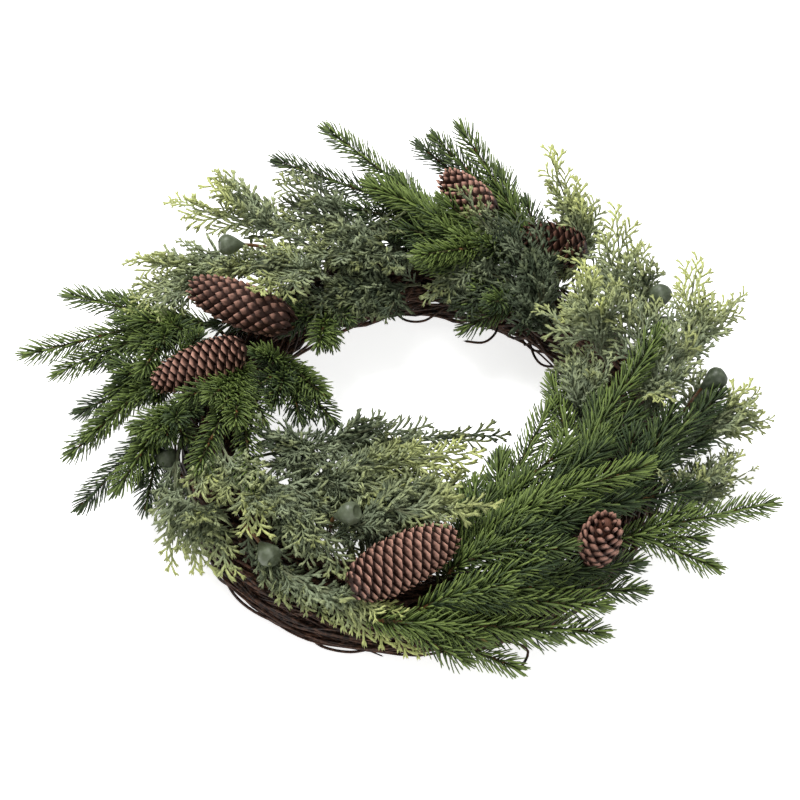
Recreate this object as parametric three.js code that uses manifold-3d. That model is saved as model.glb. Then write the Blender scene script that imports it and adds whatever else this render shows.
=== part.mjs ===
// An evergreen wreath, lying flat: spruce sprigs, cedar sprays, cones and gum pods, each on its own
// stem, pushed between the twigs of a round base wound from dark brown vine.
// Millimetres, +Z up. The foliage is laid round the ring in one sense, anticlockwise from above.
import * as THREE from "three";
import { mergeVertices } from "three/addons/utils/BufferGeometryUtils.js";
import Module from "manifold-3d";

const wasm = await Module();
wasm.setup();

// ---- Driving dimensions ----
const RING_RADIUS = 163; // middle of the twig bundle
const RING_HALF_WIDTH = 28;
const RING_HALF_HEIGHT = 28;
const RING_MIDDLE = 22; // height of the bundle's middle: its underside is pressed flat at 0
const GAP = 0.3; // air between neighbouring pieces
const STEM_GAP = 1.1; // air between two stems
const ROOT_SHARE = 0.5; // how deep a stem is pushed in, as a share of the bundle's half size
const NEEDLE_STEP = 0.6; // along the shoot from one whorl to the next, as a share of a needle
const FINGER_LENGTH = 9; // the small twiglets that edge a cedar branchlet
const BRANCHLET_STEP = 17; // along a cedar spray, left and right in turn

const UP = new THREE.Vector3(0, 0, 1);
const { degToRad, lerp, clamp } = THREE.MathUtils;

// ---- Layout: where each stem is pushed in, and where its tips reach ----
// root: [degrees round the ring, degrees round the bundle: 0 outside, 90 top, 180 inside]
// tips: [degrees round the ring, distance from the middle, height]
// rise: how far a stem keeps its first heading before it leans over
const SPRUCE = [
  { name: "spruce_left_a", root: [150, 40], needle: 18,
    tips: [[171, 318, 60], [161, 300, 80], [172, 293, 46]] },
  { name: "spruce_left_b", root: [162, 35], needle: 18,
    tips: [[188, 273, 42], [178, 270, 36], [174, 240, 66]] },
  { name: "spruce_left_c", root: [177, 60], needle: 18,
    tips: [[199, 242, 52], [196, 271, 24], [201, 223, 28]] },
  { name: "spruce_left_d", root: [160, 120], needle: 18,
    tips: [[207, 185, 84], [218, 157, 80], [199, 145, 92]] },
  { name: "spruce_left_e", root: [150, 155], needle: 18,
    tips: [[174, 72, 60], [190, 66, 50], [163, 105, 36]] },
  { name: "spruce_left_f", root: [124, 135], needle: 18, tips: [[137, 95, 50], [150, 92, 72]] },
  { name: "spruce_back_a", root: [82, 50], needle: 18, tips: [[118, 261, 100], [97, 205, 98]] },
  { name: "spruce_back_b", root: [66, 95], needle: 18, tips: [[103, 201, 112], [108, 262, 120]] },
  { name: "spruce_back_c", root: [57, 45], needle: 18,
    tips: [[88, 251, 110], [91, 261, 92], [83, 254, 122]] },
  { name: "spruce_back_d", root: [61, 80], needle: 18, tips: [[86, 176, 112]] },
  { name: "spruce_back_e", root: [48, 120], needle: 18, tips: [[93, 136, 80], [70, 86, 52]] },
  { name: "spruce_right_a", root: [318, 118], needle: 21, rise: 0.3,
    tips: [[13, 188, 105], [15, 104, 66]] },
  { name: "spruce_right_b", root: [328, 80], needle: 21, rise: 0.25,
    tips: [[1, 231, 75], [352, 205, 90], [354, 222, 56]] },
  { name: "spruce_right_c", root: [290, 138], needle: 21, rise: 0.5,
    tips: [[332, 126, 98], [339, 87, 74]] },
  { name: "spruce_right_d", root: [284, 118], needle: 21, rise: 0.42,
    tips: [[333, 187, 104], [339, 222, 64]] },
  { name: "spruce_right_e", root: [318, 60], needle: 21, tips: [[341, 277, 60], [327, 259, 46]] },
  { name: "spruce_front_a", root: [276, 105], needle: 20, rise: 0.35,
    tips: [[306, 186, 92], [312, 140, 96]] },
  { name: "spruce_front_b", root: [268, 60], needle: 20,
    tips: [[301, 177, 84], [307, 222, 57], [316, 226, 46]] },
  { name: "spruce_front_c", root: [257, 48], needle: 20, rise: 0.25,
    tips: [[305, 232, 40], [289, 224, 25], [298, 214, 30]] },
];
// spread: how long the middle branchlets of the fan are
const CEDAR = [
  { name: "cedar_back_a", root: [114, 30], spread: 28, tips: [[138, 273, 97], [132, 248, 112]] },
  { name: "cedar_back_b", root: [129, 46], spread: 26, tips: [[150, 272, 76], [153, 268, 54]] },
  { name: "cedar_back_c", root: [103, 60], spread: 26, tips: [[120, 223, 112], [122, 204, 92]] },
  { name: "cedar_back_d", root: [92, 95], spread: 28, tips: [[126, 188, 88], [129, 164, 84]] },
  { name: "cedar_back_e", root: [90, 135], spread: 26, tips: [[123, 132, 68], [112, 128, 54]] },
  { name: "cedar_back_f", root: [118, 95], spread: 22, tips: [[153, 147, 117]] },
  { name: "cedar_back_g", root: [58, 100], spread: 20, tips: [[79, 155, 142]] },
  { name: "cedar_back_h", root: [44, 110], spread: 24, tips: [[67, 157, 120]] },
  { name: "cedar_back_i", root: [34, 140], spread: 28, tips: [[58, 130, 96], [46, 118, 80]] },
  { name: "cedar_right_a", root: [44, 40], spread: 24, tips: [[62, 218, 145], [55, 216, 128]] },
  { name: "cedar_right_b", root: [27, 65], spread: 24, tips: [[42, 206, 132]] },
  { name: "cedar_right_c", root: [14, 110], spread: 24, tips: [[30, 143, 140], [20, 144, 122]] },
  { name: "cedar_right_d", root: [24, 30], spread: 24, tips: [[34, 200, 120]] },
  { name: "cedar_right_e", root: [8, 30], spread: 26, tips: [[27, 245, 104], [19, 250, 88]] },
  { name: "cedar_right_f", root: [352, 25], spread: 24, tips: [[2, 249, 72], [358, 255, 56]] },
  { name: "cedar_right_g", root: [337, 5], spread: 24, tips: [[351, 246, 50], [349, 240, 34]] },
  { name: "cedar_right_h", root: [354, 85], spread: 24, tips: [[8, 204, 112], [21, 194, 104]] },
  { name: "cedar_right_i", root: [346, 150], spread: 22, tips: [[21, 125, 82]] },
  { name: "cedar_right_j", root: [6, 75], spread: 18, tips: [[348, 178, 114]] },
  { name: "cedar_left_a", root: [186, 60], spread: 28, tips: [[214, 222, 28], [220, 213, 42]] },
  { name: "cedar_left_b", root: [186, 92], spread: 28, tips: [[229, 174, 84]] },
  { name: "cedar_left_c", root: [202, 128], spread: 28, tips: [[241, 155, 78], [251, 168, 68]] },
  { name: "cedar_left_d", root: [200, 48], spread: 28, tips: [[227, 195, 44], [213, 190, 66]] },
  { name: "cedar_front_a", root: [234, 65], spread: 28, tips: [[270, 206, 40], [266, 188, 62]] },
  { name: "cedar_front_b", root: [222, 75], spread: 26, tips: [[245, 194, 45], [253, 198, 46]] },
  { name: "cedar_front_c", root: [194, 155], spread: 28, tips: [[338, 64, 54], [225, 46, 62]] },
  { name: "cedar_front_d", root: [214, 145], spread: 30, rise: 0.3,
    tips: [[304, 68, 76], [259, 105, 80], [246, 58, 56]] },
  { name: "cedar_front_e", root: [240, 125], spread: 26, rise: 0.4,
    tips: [[291, 131, 102], [285, 90, 74]] },
];
// Cones lie on the foliage: from the stalk end to the tip, and their greatest radius.
const CONES = [
  { name: "cone_left_upper", root: [140, 95], base: [147, 124, 80], tip: [151, 208, 86], radius: 19 },
  { name: "cone_left_lower", root: [167, 115], base: [165, 141, 86], tip: [177, 205, 72], radius: 18 },
  { name: "cone_front", root: [250, 95], base: [254, 178, 68], tip: [281, 137, 88], radius: 22 },
  { name: "cone_right", root: [308, 60], base: [311, 186, 62], tip: [313, 196, 112], radius: 18 },
  { name: "cone_back_left", root: [76, 75], base: [72, 184, 92], tip: [85, 196, 116], radius: 17 },
  { name: "cone_back_right", root: [50, 70], base: [47, 192, 84], tip: [61, 166, 98], radius: 18 },
];
const PODS = [
  { name: "pod_front_right", root: [238, 150], pods: [[246, 129, 84]] },
  { name: "pod_front_left", root: [220, 80], pods: [[232, 178, 66]] },
  { name: "pod_left", root: [194, 22], pods: [[192, 196, 46]] },
  { name: "pods_back", root: [126, 70], pods: [[139, 201, 100], [133, 180, 78]] },
  { name: "pods_right_upper", root: [14, 60], pods: [[23, 202, 98], [18, 200, 80]] },
  { name: "pods_right_lower", root: [358, 40], pods: [[5, 216, 80], [0, 228, 70]] },
];
const POD_RADIUS = 9;

// Loose ends of vine that have sprung out of the bundle: points as in tips.
const VINE_ENDS = [
  [[284, 176, 16], [289, 192, 22], [292, 203, 12], [289, 212, 5]],
  [[64, 142, 18], [60, 126, 22], [62, 112, 20], [70, 103, 24]],
  [[50, 140, 12], [45, 134, 6], [40, 133, 6], [34, 141, 12]],
  [[100, 144, 14], [95, 134, 8], [88, 133, 8], [82, 142, 14]],
  [[228, 184, 14], [234, 195, 10], [241, 195, 8], [248, 184, 12]],
  [[250, 182, 10], [256, 196, 6], [264, 197, 6], [270, 184, 10]],
];

// ---- Small helpers ----
function polar([degrees, distance, height]) {
  const angle = degToRad(degrees);
  return new THREE.Vector3(distance * Math.cos(angle), distance * Math.sin(angle), height);
}

// A point in the bundle's own section: share 0 is its middle and 1 its surface.
function inBundle([degrees, around], share) {
  const distance = RING_RADIUS + RING_HALF_WIDTH * share * Math.cos(degToRad(around));
  const height = RING_MIDDLE + RING_HALF_HEIGHT * share * Math.sin(degToRad(around));
  return polar([degrees, distance, height]);
}

// A seeded draw between 0 and 1, the same on every run.
function makeDraw(seed) {
  let state = seed;
  return () => {
    state = (Math.imul(state, 1664525) + 1013904223) >>> 0;
    return state / 4294967296;
  };
}

function solidFrom(geometry) {
  const bare = geometry.index ? geometry.toNonIndexed() : geometry.clone();
  bare.deleteAttribute("normal");
  bare.deleteAttribute("uv");
  const merged = mergeVertices(bare, 1e-3);
  return new wasm.Manifold(
    new wasm.Mesh({
      numProp: 3,
      vertProperties: merged.attributes.position.array,
      triVerts: new Uint32Array(merged.index.array),
    }),
  );
}

function geometryFrom(solid) {
  const mesh = solid.getMesh();
  const geometry = new THREE.BufferGeometry();
  geometry.setAttribute("position", new THREE.BufferAttribute(mesh.vertProperties, 3));
  geometry.setIndex(new THREE.BufferAttribute(mesh.triVerts, 1));
  geometry.computeVertexNormals();
  return geometry;
}

function directionAt(path, i) {
  return path[Math.min(i + 1, path.length - 1)].clone().sub(path[Math.max(i - 1, 0)]).normalize();
}

// Directions across a path, from its tip back, that turn no more than the path does.
function acrossPath(path, face) {
  const across = [];
  let last = face;
  for (let i = path.length - 1; i >= 0; i--) {
    const along = directionAt(path, i);
    last = last.clone().addScaledVector(along, -last.dot(along)).normalize();
    across[i] = last;
  }
  return across;
}

const edgeRay = new THREE.Ray();
const hitPoint = new THREE.Vector3();
const WALL_AIR = 0.05; // walls of one growth stay this far apart

// ---- Growth: a three-sided stem, off whose facets needles and branchlets are drawn ----
class Growth {
  constructor() {
    this.points = [];
    this.facets = [];
  }

  add(point) {
    this.points.push(point);
    return this.points.length - 1;
  }

  facet(a, b, c, about = {}) {
    this.facets.push({ corners: [a, b, c], ...about });
  }

  // Three corners round a point of the stem. turn is the angle of the first, from the side
  // direction towards the face direction.
  corners(centre, direction, face, radius, turn) {
    const side = new THREE.Vector3().crossVectors(face, direction).normalize();
    const over = new THREE.Vector3().crossVectors(direction, side).normalize();
    return [0, 1, 2].map((k) => {
      const angle = turn + (k * 2 * Math.PI) / 3;
      return centre
        .clone()
        .addScaledVector(side, radius * Math.cos(angle))
        .addScaledVector(over, radius * Math.sin(angle));
    });
  }

  // Carries a ring of three corners along a path to its point.
  tube(start, path, radii, across, turns) {
    let ring = start;
    for (let i = 1; i < path.length; i++) {
      const direction = directionAt(path, i);
      const about = { step: i, at: path[i - 1].clone().lerp(path[i], 0.5), direction };
      if (i === path.length - 1) {
        const apex = this.add(path[i]);
        for (let k = 0; k < 3; k++) this.facet(ring[k], ring[(k + 1) % 3], apex, about);
        return;
      }
      const next = this.corners(path[i], direction, across[i], radii[i], turns[i]).map((p) => this.add(p));
      for (let k = 0; k < 3; k++) {
        const m = (k + 1) % 3;
        this.facet(ring[k], ring[m], next[m], { ...about, row: 0, side: k });
        this.facet(ring[k], next[m], next[k], { ...about, row: 1, side: k });
      }
      ring = next;
    }
  }

  // A whole stem with its closed root end.
  stem(path, radii, across, turns) {
    const direction = directionAt(path, 0);
    const root = this.corners(path[0], direction, across[0], radii[0], turns[0]);
    const ring = root.map((p) => this.add(p));
    this.facet(ring[0], ring[2], ring[1]);
    this.tube(ring, path, radii, across, turns);
  }

  middle(facet) {
    const sum = new THREE.Vector3();
    facet.corners.forEach((c) => sum.add(this.points[c]));
    return sum.divideScalar(3);
  }

  // Draws a facet out to a point: a needle, thorn or twiglet.
  draw(facet, apex) {
    this.facets.splice(this.facets.indexOf(facet), 1);
    const tip = this.add(apex);
    const [a, b, c] = facet.corners;
    [[a, b], [b, c], [c, a]].forEach(([m, n]) => this.facet(m, n, tip, { drawn: true }));
    return tip;
  }

  // Grows a side branch out of a facet; the facet's corners become its first ring.
  branch(facet, path, radii, face) {
    this.facets.splice(this.facets.indexOf(facet), 1);
    const across = acrossPath(path, face);
    const turn = -Math.PI / 2;
    const target = this.corners(path[0], directionAt(path, 0), across[0], 1, turn).map((p) => p.sub(path[0]));
    const match = (shift) =>
      [0, 1, 2].reduce((sum, k) => {
        const corner = this.points[facet.corners[(k + shift) % 3]].clone().sub(path[0]);
        return sum + corner.dot(target[k]);
      }, 0);
    const best = [0, 1, 2].reduce((a, b) => (match(b) > match(a) ? b : a));
    const ring = [0, 1, 2].map((k) => facet.corners[(k + best) % 3]);
    const first = this.facets.length;
    this.tube(ring, path, radii, across, path.map(() => turn));
    return this.facets.slice(first);
  }

  // Tries a change, and takes it back if walls would then cross.
  attempt(change) {
    const before = new Set(this.facets);
    const count = this.points.length;
    const result = change();
    const fresh = this.facets.filter((facet) => !before.has(facet));
    const crossed = fresh.some((a) => this.facets.some((b) => a !== b && this.cross(a, b)));
    if (!crossed) return result;
    this.facets = [...before];
    this.points.length = count;
    return null;
  }

  cross(a, b) {
    if (a.corners.filter((c) => b.corners.includes(c)).length > 1) return false;
    if (!this.boxOf(a).intersectsBox(this.boxOf(b))) return false;
    return this.cuts(a, b) || this.cuts(b, a);
  }

  boxOf(facet) {
    facet.box ??= new THREE.Box3().setFromPoints(facet.corners.map((c) => this.points[c]));
    return facet.box;
  }

  // True where an edge of a goes through b, or ends too close to it.
  cuts(a, b) {
    const [p, q, r] = b.corners.map((c) => this.points[c]);
    return a.corners.some((c, k) => {
      const d = a.corners[(k + 1) % 3];
      if (b.corners.includes(c) || b.corners.includes(d)) return false;
      const run = this.points[d].clone().sub(this.points[c]);
      const length = run.length();
      run.divideScalar(length);
      edgeRay.set(this.points[c].clone().addScaledVector(run, -WALL_AIR), run);
      const hit = edgeRay.intersectTriangle(p, q, r, false, hitPoint);
      return hit !== null && hit.distanceTo(edgeRay.origin) < length + 2 * WALL_AIR;
    });
  }

  solid() {
    const position = new Float32Array(this.points.length * 3);
    this.points.forEach((p, i) => p.toArray(position, i * 3));
    const index = new Uint32Array(this.facets.flatMap((f) => f.corners));
    return new wasm.Manifold(
      new wasm.Mesh({ numProp: 3, vertProperties: position, triVerts: index }),
    );
  }
}

// ---- Room: every stem, needle and cone as thick lines, to keep neighbours clear ----
const room = []; // {from, to, r0, r1, stem}

// Closest approach of two lines: the distance and where along each it is.
function approach(p1, q1, p2, q2) {
  const d1 = q1.clone().sub(p1);
  const d2 = q2.clone().sub(p2);
  const r = p1.clone().sub(p2);
  const a = d1.dot(d1);
  const e = d2.dot(d2);
  const f = d2.dot(r);
  const c = d1.dot(r);
  const b = d1.dot(d2);
  const denominator = a * e - b * b;
  let s = denominator > 1e-9 ? clamp((b * f - c * e) / denominator, 0, 1) : 0;
  let t = (b * s + f) / e;
  if (t < 0 || t > 1) {
    t = clamp(t, 0, 1);
    s = clamp((b * t - c) / a, 0, 1);
  }
  const apart = p1.clone().addScaledVector(d1, s).sub(p2.clone().addScaledVector(d2, t));
  return { distance: apart.length(), s, t, apart };
}

function outsideBundle(point, margin) {
  const out = Math.hypot(point.x, point.y) - RING_RADIUS;
  const share = Math.hypot(
    out / (RING_HALF_WIDTH + margin),
    (point.z - RING_MIDDLE) / (RING_HALF_HEIGHT + margin),
  );
  return share > 1;
}

// True where a tapering line from r0 to r1 is clear of all but the stems it may touch.
function isClear(from, to, r0, r1, except) {
  const reach = from.distanceTo(to) + 2;
  for (let k = 1; k <= 6; k++) {
    const point = from.clone().lerp(to, k / 6);
    if (point.z < 2 || !outsideBundle(point, 2.4)) return false;
  }
  return room.every((other) => {
    if (except.includes(other.stem)) return true;
    const far = other.from.distanceTo(other.to) + reach + other.r0 + other.r1;
    if (Math.abs(other.from.x - from.x) > far || Math.abs(other.from.y - from.y) > far) return true;
    const near = approach(from, to, other.from, other.to);
    const thick = lerp(r0, r1, near.s) + lerp(other.r0, other.r1, near.t);
    return near.distance > thick + GAP;
  });
}

function claim(from, to, r0, r1, stem) {
  room.push({ from, to, r0, r1, stem });
}

// ---- Stems: their lines, from the root in the bundle to the tip ----
const stems = [];
const ROOT_POINTS = 2; // these stay where they are pushed in

function leaderLine(root, tip, rise = 0.18) {
  const inside = inBundle(root, ROOT_SHARE);
  const surface = inBundle(root, 1.2);
  const away = surface.clone().sub(inside).normalize();
  const run = tip.clone().sub(surface);
  const length = run.length();
  const curve = new THREE.CubicBezierCurve3(
    surface,
    surface.clone().addScaledVector(away, rise * length).addScaledVector(run, 0.12),
    surface.clone().addScaledVector(run, 0.62).addScaledVector(UP, 0.06 * length),
    tip,
  );
  return { inside, curve };
}

function sideLine(leader, share, tip) {
  const from = leader.getPointAt(share);
  const run = tip.clone().sub(from);
  const along = leader.getTangentAt(share);
  return new THREE.CubicBezierCurve3(
    from,
    from.clone().addScaledVector(along, 0.22 * run.length()).addScaledVector(run, 0.1),
    from.clone().addScaledVector(run, 0.68).addScaledVector(UP, 0.04 * run.length()),
    tip,
  );
}

// Points along a curve: its start, the end of its bare foot, and a step apart after it.
function sample(curve, bareShare, step) {
  const length = curve.getLength();
  const steps = Math.max(4, Math.round((length * (1 - bareShare)) / step));
  const points = [curve.getPointAt(0)];
  for (let i = 0; i <= steps; i++) points.push(curve.getPointAt(lerp(bareShare, 1, i / steps)));
  return points;
}

function addStem(node, kind, points, [thick, fine], tied = null) {
  const radii = points.map((_, i) => lerp(thick, fine, i / (points.length - 1)));
  const stem = { node, kind, points, radii, tied, fixed: tied ? 0 : ROOT_POINTS, id: stems.length };
  stems.push(stem);
  return stem;
}

// Stem radii, from root to tip.
const SPRUCE_STEM = [2.6, 1.5];
const SPRUCE_SIDE = [1.9, 1.4];
const CEDAR_STEM = [2.2, 1.5];
const CEDAR_SIDE = [1.75, 1.45];
const CONE_STALK = [2.4, 2.4];
const POD_STALK = [2.0, 1.6];
const POD_SIDE = [1.6, 1.5];
// Bare foot of a stem, as a share of its length.
const SPRUCE_BARE = 0.12;
const SPRUCE_SIDE_BARE = 0.08;
const CEDAR_BARE = 0.1;
const CEDAR_SIDE_BARE = 0.15;
// Where side shoots leave the leader, as shares of its length.
const SPRUCE_FORKS = [0.12, 0.2];
const CEDAR_FORK = 0.25;

SPRUCE.forEach(({ name, root, needle, rise, tips }) => {
  const { inside, curve } = leaderLine(root, polar(tips[0]), rise);
  const step = NEEDLE_STEP * needle;
  const leader = addStem(name, "spruce", [inside, ...sample(curve, SPRUCE_BARE, step)], SPRUCE_STEM);
  leader.bare = 2;
  leader.needle = needle;
  tips.slice(1).forEach((tip, i) => {
    const line = sideLine(curve, SPRUCE_FORKS[i], polar(tip));
    const at = curve.getPointAt(SPRUCE_FORKS[i]);
    const points = sample(line, SPRUCE_SIDE_BARE, step);
    const side = addStem(name, "spruce", points, SPRUCE_SIDE, { to: leader, at });
    side.bare = 1;
    side.needle = needle;
  });
});

CEDAR.forEach(({ name, root, tips, spread, rise }) => {
  const { inside, curve } = leaderLine(root, polar(tips[0]), rise);
  const points = [inside, ...sample(curve, CEDAR_BARE, BRANCHLET_STEP)];
  const leader = addStem(name, "cedar", points, CEDAR_STEM);
  leader.bare = 2;
  leader.spread = spread;
  tips.slice(1).forEach((tip) => {
    const line = sideLine(curve, CEDAR_FORK, polar(tip));
    const at = curve.getPointAt(CEDAR_FORK);
    const fork = sample(line, CEDAR_SIDE_BARE, BRANCHLET_STEP);
    const side = addStem(name, "cedar", fork, CEDAR_SIDE, { to: leader, at });
    side.bare = 1;
    side.spread = spread;
  });
});

// Stalks end inside the cone or pod that they carry.
function stalkLine(root, end, heading) {
  const inside = inBundle(root, ROOT_SHARE);
  const surface = inBundle(root, 1.2);
  const away = surface.clone().sub(inside).normalize();
  const length = end.distanceTo(surface);
  const curve = new THREE.CubicBezierCurve3(
    surface,
    surface.clone().addScaledVector(away, 0.4 * length),
    end.clone().addScaledVector(heading, -0.4 * length),
    end,
  );
  return [inside, ...curve.getPoints(3)];
}

const STALK_DEPTH = 6; // how far a stalk goes on inside its cone
CONES.forEach((cone) => {
  const base = polar(cone.base);
  const heading = polar(cone.tip).sub(base).normalize();
  const stalk = addStem(cone.name, "stalk", stalkLine(cone.root, base, heading), CONE_STALK);
  stalk.points.push(base.clone().addScaledVector(heading, STALK_DEPTH));
  stalk.radii.push(CONE_STALK[1]);
  stalk.loose = stalk.points.length - 2;
});

PODS.forEach(({ name, root, pods }) => {
  const end = polar(pods[0]);
  const heading = end.clone().sub(inBundle(root, 1)).setZ(6).normalize();
  const stalk = addStem(name, "stalk", stalkLine(root, end, heading), POD_STALK);
  stalk.loose = stalk.points.length - 1;
  pods.slice(1).forEach((pod) => {
    const from = stalk.points[2].clone();
    const to = polar(pod);
    const middle = from.clone().lerp(to, 0.5).addScaledVector(UP, 3);
    const side = addStem(name, "stalk", [from, middle, to], POD_SIDE, { to: stalk, at: from });
    side.loose = 2;
  });
});

// ---- Cones and pods as thick lines ----
// Radius of a cone, as a share of its greatest, at a share of its length.
const CONE_PROFILE = [[0, 0.5], [0.1, 0.82], [0.32, 1], [0.6, 0.9], [0.82, 0.66], [0.95, 0.36], [1, 0.12]];

function profile(share) {
  const next = CONE_PROFILE.findIndex(([at]) => at >= share);
  if (next <= 0) return CONE_PROFILE[0][1];
  const [a, ra] = CONE_PROFILE[next - 1];
  const [b, rb] = CONE_PROFILE[next];
  return lerp(ra, rb, (share - a) / (b - a));
}

const bodies = []; // {from, to, r0, r1, node}
CONES.forEach((cone) => {
  const base = polar(cone.base);
  const tip = polar(cone.tip);
  for (let i = 0; i < 5; i++) {
    bodies.push({
      from: base.clone().lerp(tip, i / 5),
      to: base.clone().lerp(tip, (i + 1) / 5),
      r0: cone.radius * profile(i / 5) + 2,
      r1: cone.radius * profile((i + 1) / 5) + 2,
      node: cone.name,
      stem: -1,
    });
  }
});
PODS.forEach(({ name, pods }) => {
  pods.map(polar).forEach((p) => {
    const to = p.clone().addScaledVector(UP, 1);
    bodies.push({ from: p, to, r0: POD_RADIUS + 1, r1: POD_RADIUS + 1, node: name, stem: -1 });
  });
});

const VINE_RADIUS = 1.7;
const VINE_AIR = 0.4;
const vineLines = VINE_ENDS.map((points) => new THREE.CatmullRomCurve3(points.map(polar)).getPoints(5));
vineLines.forEach((path) => {
  path.slice(1).forEach((to, i) => {
    const r = VINE_RADIUS + VINE_AIR;
    bodies.push({ from: path[i], to, r0: r, r1: r, node: "twig_ring", stem: -1 });
  });
});

// ---- Bending clear: stems of different pieces are eased apart until none touch ----
const EASE_ROUNDS = 160;
const SIDE_SINK = 0.4; // how far below its leader's middle line a side shoot starts
const SIDE_FIRST = 0.35; // where its first stretch ends, as a share of the first two

function tieSides() {
  stems.forEach((stem) => {
    if (!stem.tied) return;
    const target = stem.tied.to.points;
    if (stem.tied.index === undefined) {
      const distances = target.map((p) => p.distanceTo(stem.tied.at));
      stem.tied.index = distances.indexOf(Math.min(...distances));
    }
    stem.points[0].copy(target[stem.tied.index]).addScaledVector(UP, -SIDE_SINK);
    stem.points[1].lerpVectors(stem.points[0], stem.points[2], SIDE_FIRST);
  });
}

function pushPair(a, i, b, j, shifts) {
  const near = approach(a.points[i], a.points[i + 1], b.points[j], b.points[j + 1]);
  const need = a.radii[i] + b.radii[j] + STEM_GAP;
  if (near.distance >= need) return;
  const away = near.distance > 1e-3 ? near.apart.normalize() : UP.clone();
  const amount = 0.5 * (need - near.distance) + 0.05;
  [[a, i, 1 - near.s, 1], [a, i + 1, near.s, 1], [b, j, 1 - near.t, -1], [b, j + 1, near.t, -1]].forEach(
    ([stem, at, share, sign]) => shifts[stem.id][at].addScaledVector(away, sign * amount * share),
  );
}

function pushOffBodies(stem, shifts) {
  for (let i = 0; i + 1 < stem.points.length; i++) {
    bodies.forEach((body) => {
      if (body.node === stem.node) return;
      const near = approach(stem.points[i], stem.points[i + 1], body.from, body.to);
      const need = stem.radii[i] + lerp(body.r0, body.r1, near.t) + STEM_GAP;
      if (near.distance >= need) return;
      const away = near.distance > 1e-3 ? near.apart.normalize() : UP.clone();
      const amount = need - near.distance;
      shifts[stem.id][i].addScaledVector(away, amount * (1 - near.s));
      shifts[stem.id][i + 1].addScaledVector(away, amount * near.s);
    });
  }
}

function pushOffBundle(stem, shifts) {
  stem.points.forEach((point, i) => {
    if (i < stem.fixed) return;
    const out = Math.hypot(point.x, point.y) - RING_RADIUS;
    const rise = point.z - RING_MIDDLE;
    const margin = stem.radii[i] + 3.2;
    const share = Math.hypot(out / (RING_HALF_WIDTH + margin), rise / (RING_HALF_HEIGHT + margin));
    if (share < 1) {
      const amount = (1 / Math.max(share, 0.2) - 1) * 0.5;
      const flat = new THREE.Vector3(point.x, point.y, 0).normalize();
      shifts[stem.id][i].addScaledVector(flat, out * amount).addScaledVector(UP, rise * amount);
    }
    if (point.z < 5) shifts[stem.id][i].z += 5 - point.z;
  });
}

function easeApart() {
  for (let round = 0; round < EASE_ROUNDS; round++) {
    tieSides();
    const shifts = stems.map((stem) => stem.points.map(() => new THREE.Vector3()));
    const boxes = stems.map((stem) => new THREE.Box3().setFromPoints(stem.points).expandByScalar(3));
    stems.forEach((a, m) => {
      stems.slice(m + 1).forEach((b, n) => {
        if (a.node === b.node || !boxes[m].intersectsBox(boxes[m + 1 + n])) return;
        for (let i = 0; i + 1 < a.points.length; i++)
          for (let j = 0; j + 1 < b.points.length; j++) pushPair(a, i, b, j, shifts);
      });
      pushOffBodies(a, shifts);
      pushOffBundle(a, shifts);
    });
    stems.forEach((stem) => {
      const shift = shifts[stem.id];
      const last = stem.loose ?? stem.points.length;
      for (let i = stem.fixed; i < last; i++) {
        const before = shift[Math.max(i - 1, 0)];
        const after = shift[Math.min(i + 1, shift.length - 1)];
        stem.points[i].addScaledVector(shift[i], 0.6).addScaledVector(before, 0.25);
        stem.points[i].addScaledVector(after, 0.25);
      }
    });
  }
  tieSides();
}

easeApart();

stems.forEach((stem) => {
  for (let i = 0; i + 1 < stem.points.length; i++) {
    const [from, to] = [stem.points[i], stem.points[i + 1]];
    claim(from, to, stem.radii[i], stem.radii[i + 1], stem.id);
  }
});
bodies.forEach((body) => room.push(body));

// ---- Foliage on the stems ----
const EDGE_RADIUS = 0.3;
const POINT_RADIUS = 0.2;

// Draws a facet out to a point where its middle line and its edges have air round them.
function drawIfClear(growth, facet, apex, thick, id) {
  const middle = growth.middle(facet);
  const edges = facet.corners.map((c) => growth.points[c].clone().lerp(apex, 0.12));
  const clear =
    isClear(middle, apex, thick, POINT_RADIUS, [id]) &&
    edges.every((from) => isClear(from, apex, EDGE_RADIUS, POINT_RADIUS, [id]));
  if (!clear || !growth.attempt(() => growth.draw(facet, apex))) return;
  claim(middle, apex, thick, POINT_RADIUS, id);
  edges.forEach((from) => claim(from, apex, EDGE_RADIUS, POINT_RADIUS, id));
}

const draw = makeDraw(7);
const parts = new Map(); // node name -> solids to be joined

function keep(name, solid) {
  if (!parts.has(name)) parts.set(name, []);
  parts.get(name).push(solid);
}

// Whorls of needles, each turned a little from the last, leaning to the tip.
const WHORL_TURN = -Math.PI / 6;
const NEEDLE_BASE = 1.7;

function growSpruce(stem) {
  const growth = new Growth();
  const turns = stem.points.map((_, i) => i * WHORL_TURN);
  growth.stem(stem.points, stem.radii, acrossPath(stem.points, UP), turns);
  const last = stem.points.length - 1;
  growth.facets
    .filter((facet) => facet.step > stem.bare)
    .forEach((facet) => {
      const middle = growth.middle(facet);
      const out = middle.clone().sub(facet.at);
      out.addScaledVector(facet.direction, -out.dot(facet.direction)).normalize();
      const atTip = facet.step === last;
      const lean = degToRad(atTip ? 18 : 40 + 6 * draw());
      const length = stem.needle * (atTip ? 0.55 : 0.92 + 0.16 * draw());
      const apex = middle
        .clone()
        .addScaledVector(facet.direction, length * Math.cos(lean))
        .addScaledVector(out, length * Math.sin(lean));
      drawIfClear(growth, facet, apex, NEEDLE_BASE, stem.id);
    });
  keep(stem.node, growth.solid());
}

const FINGER_BASE = 1.3;

// The flat of a cedar fan faces up and outwards from its stem's line.
function faceOf(stem) {
  const run = stem.points.at(-1).clone().sub(stem.points[1]);
  const side = new THREE.Vector3().crossVectors(run, UP).normalize();
  return new THREE.Vector3().crossVectors(side, run).normalize();
}

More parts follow.
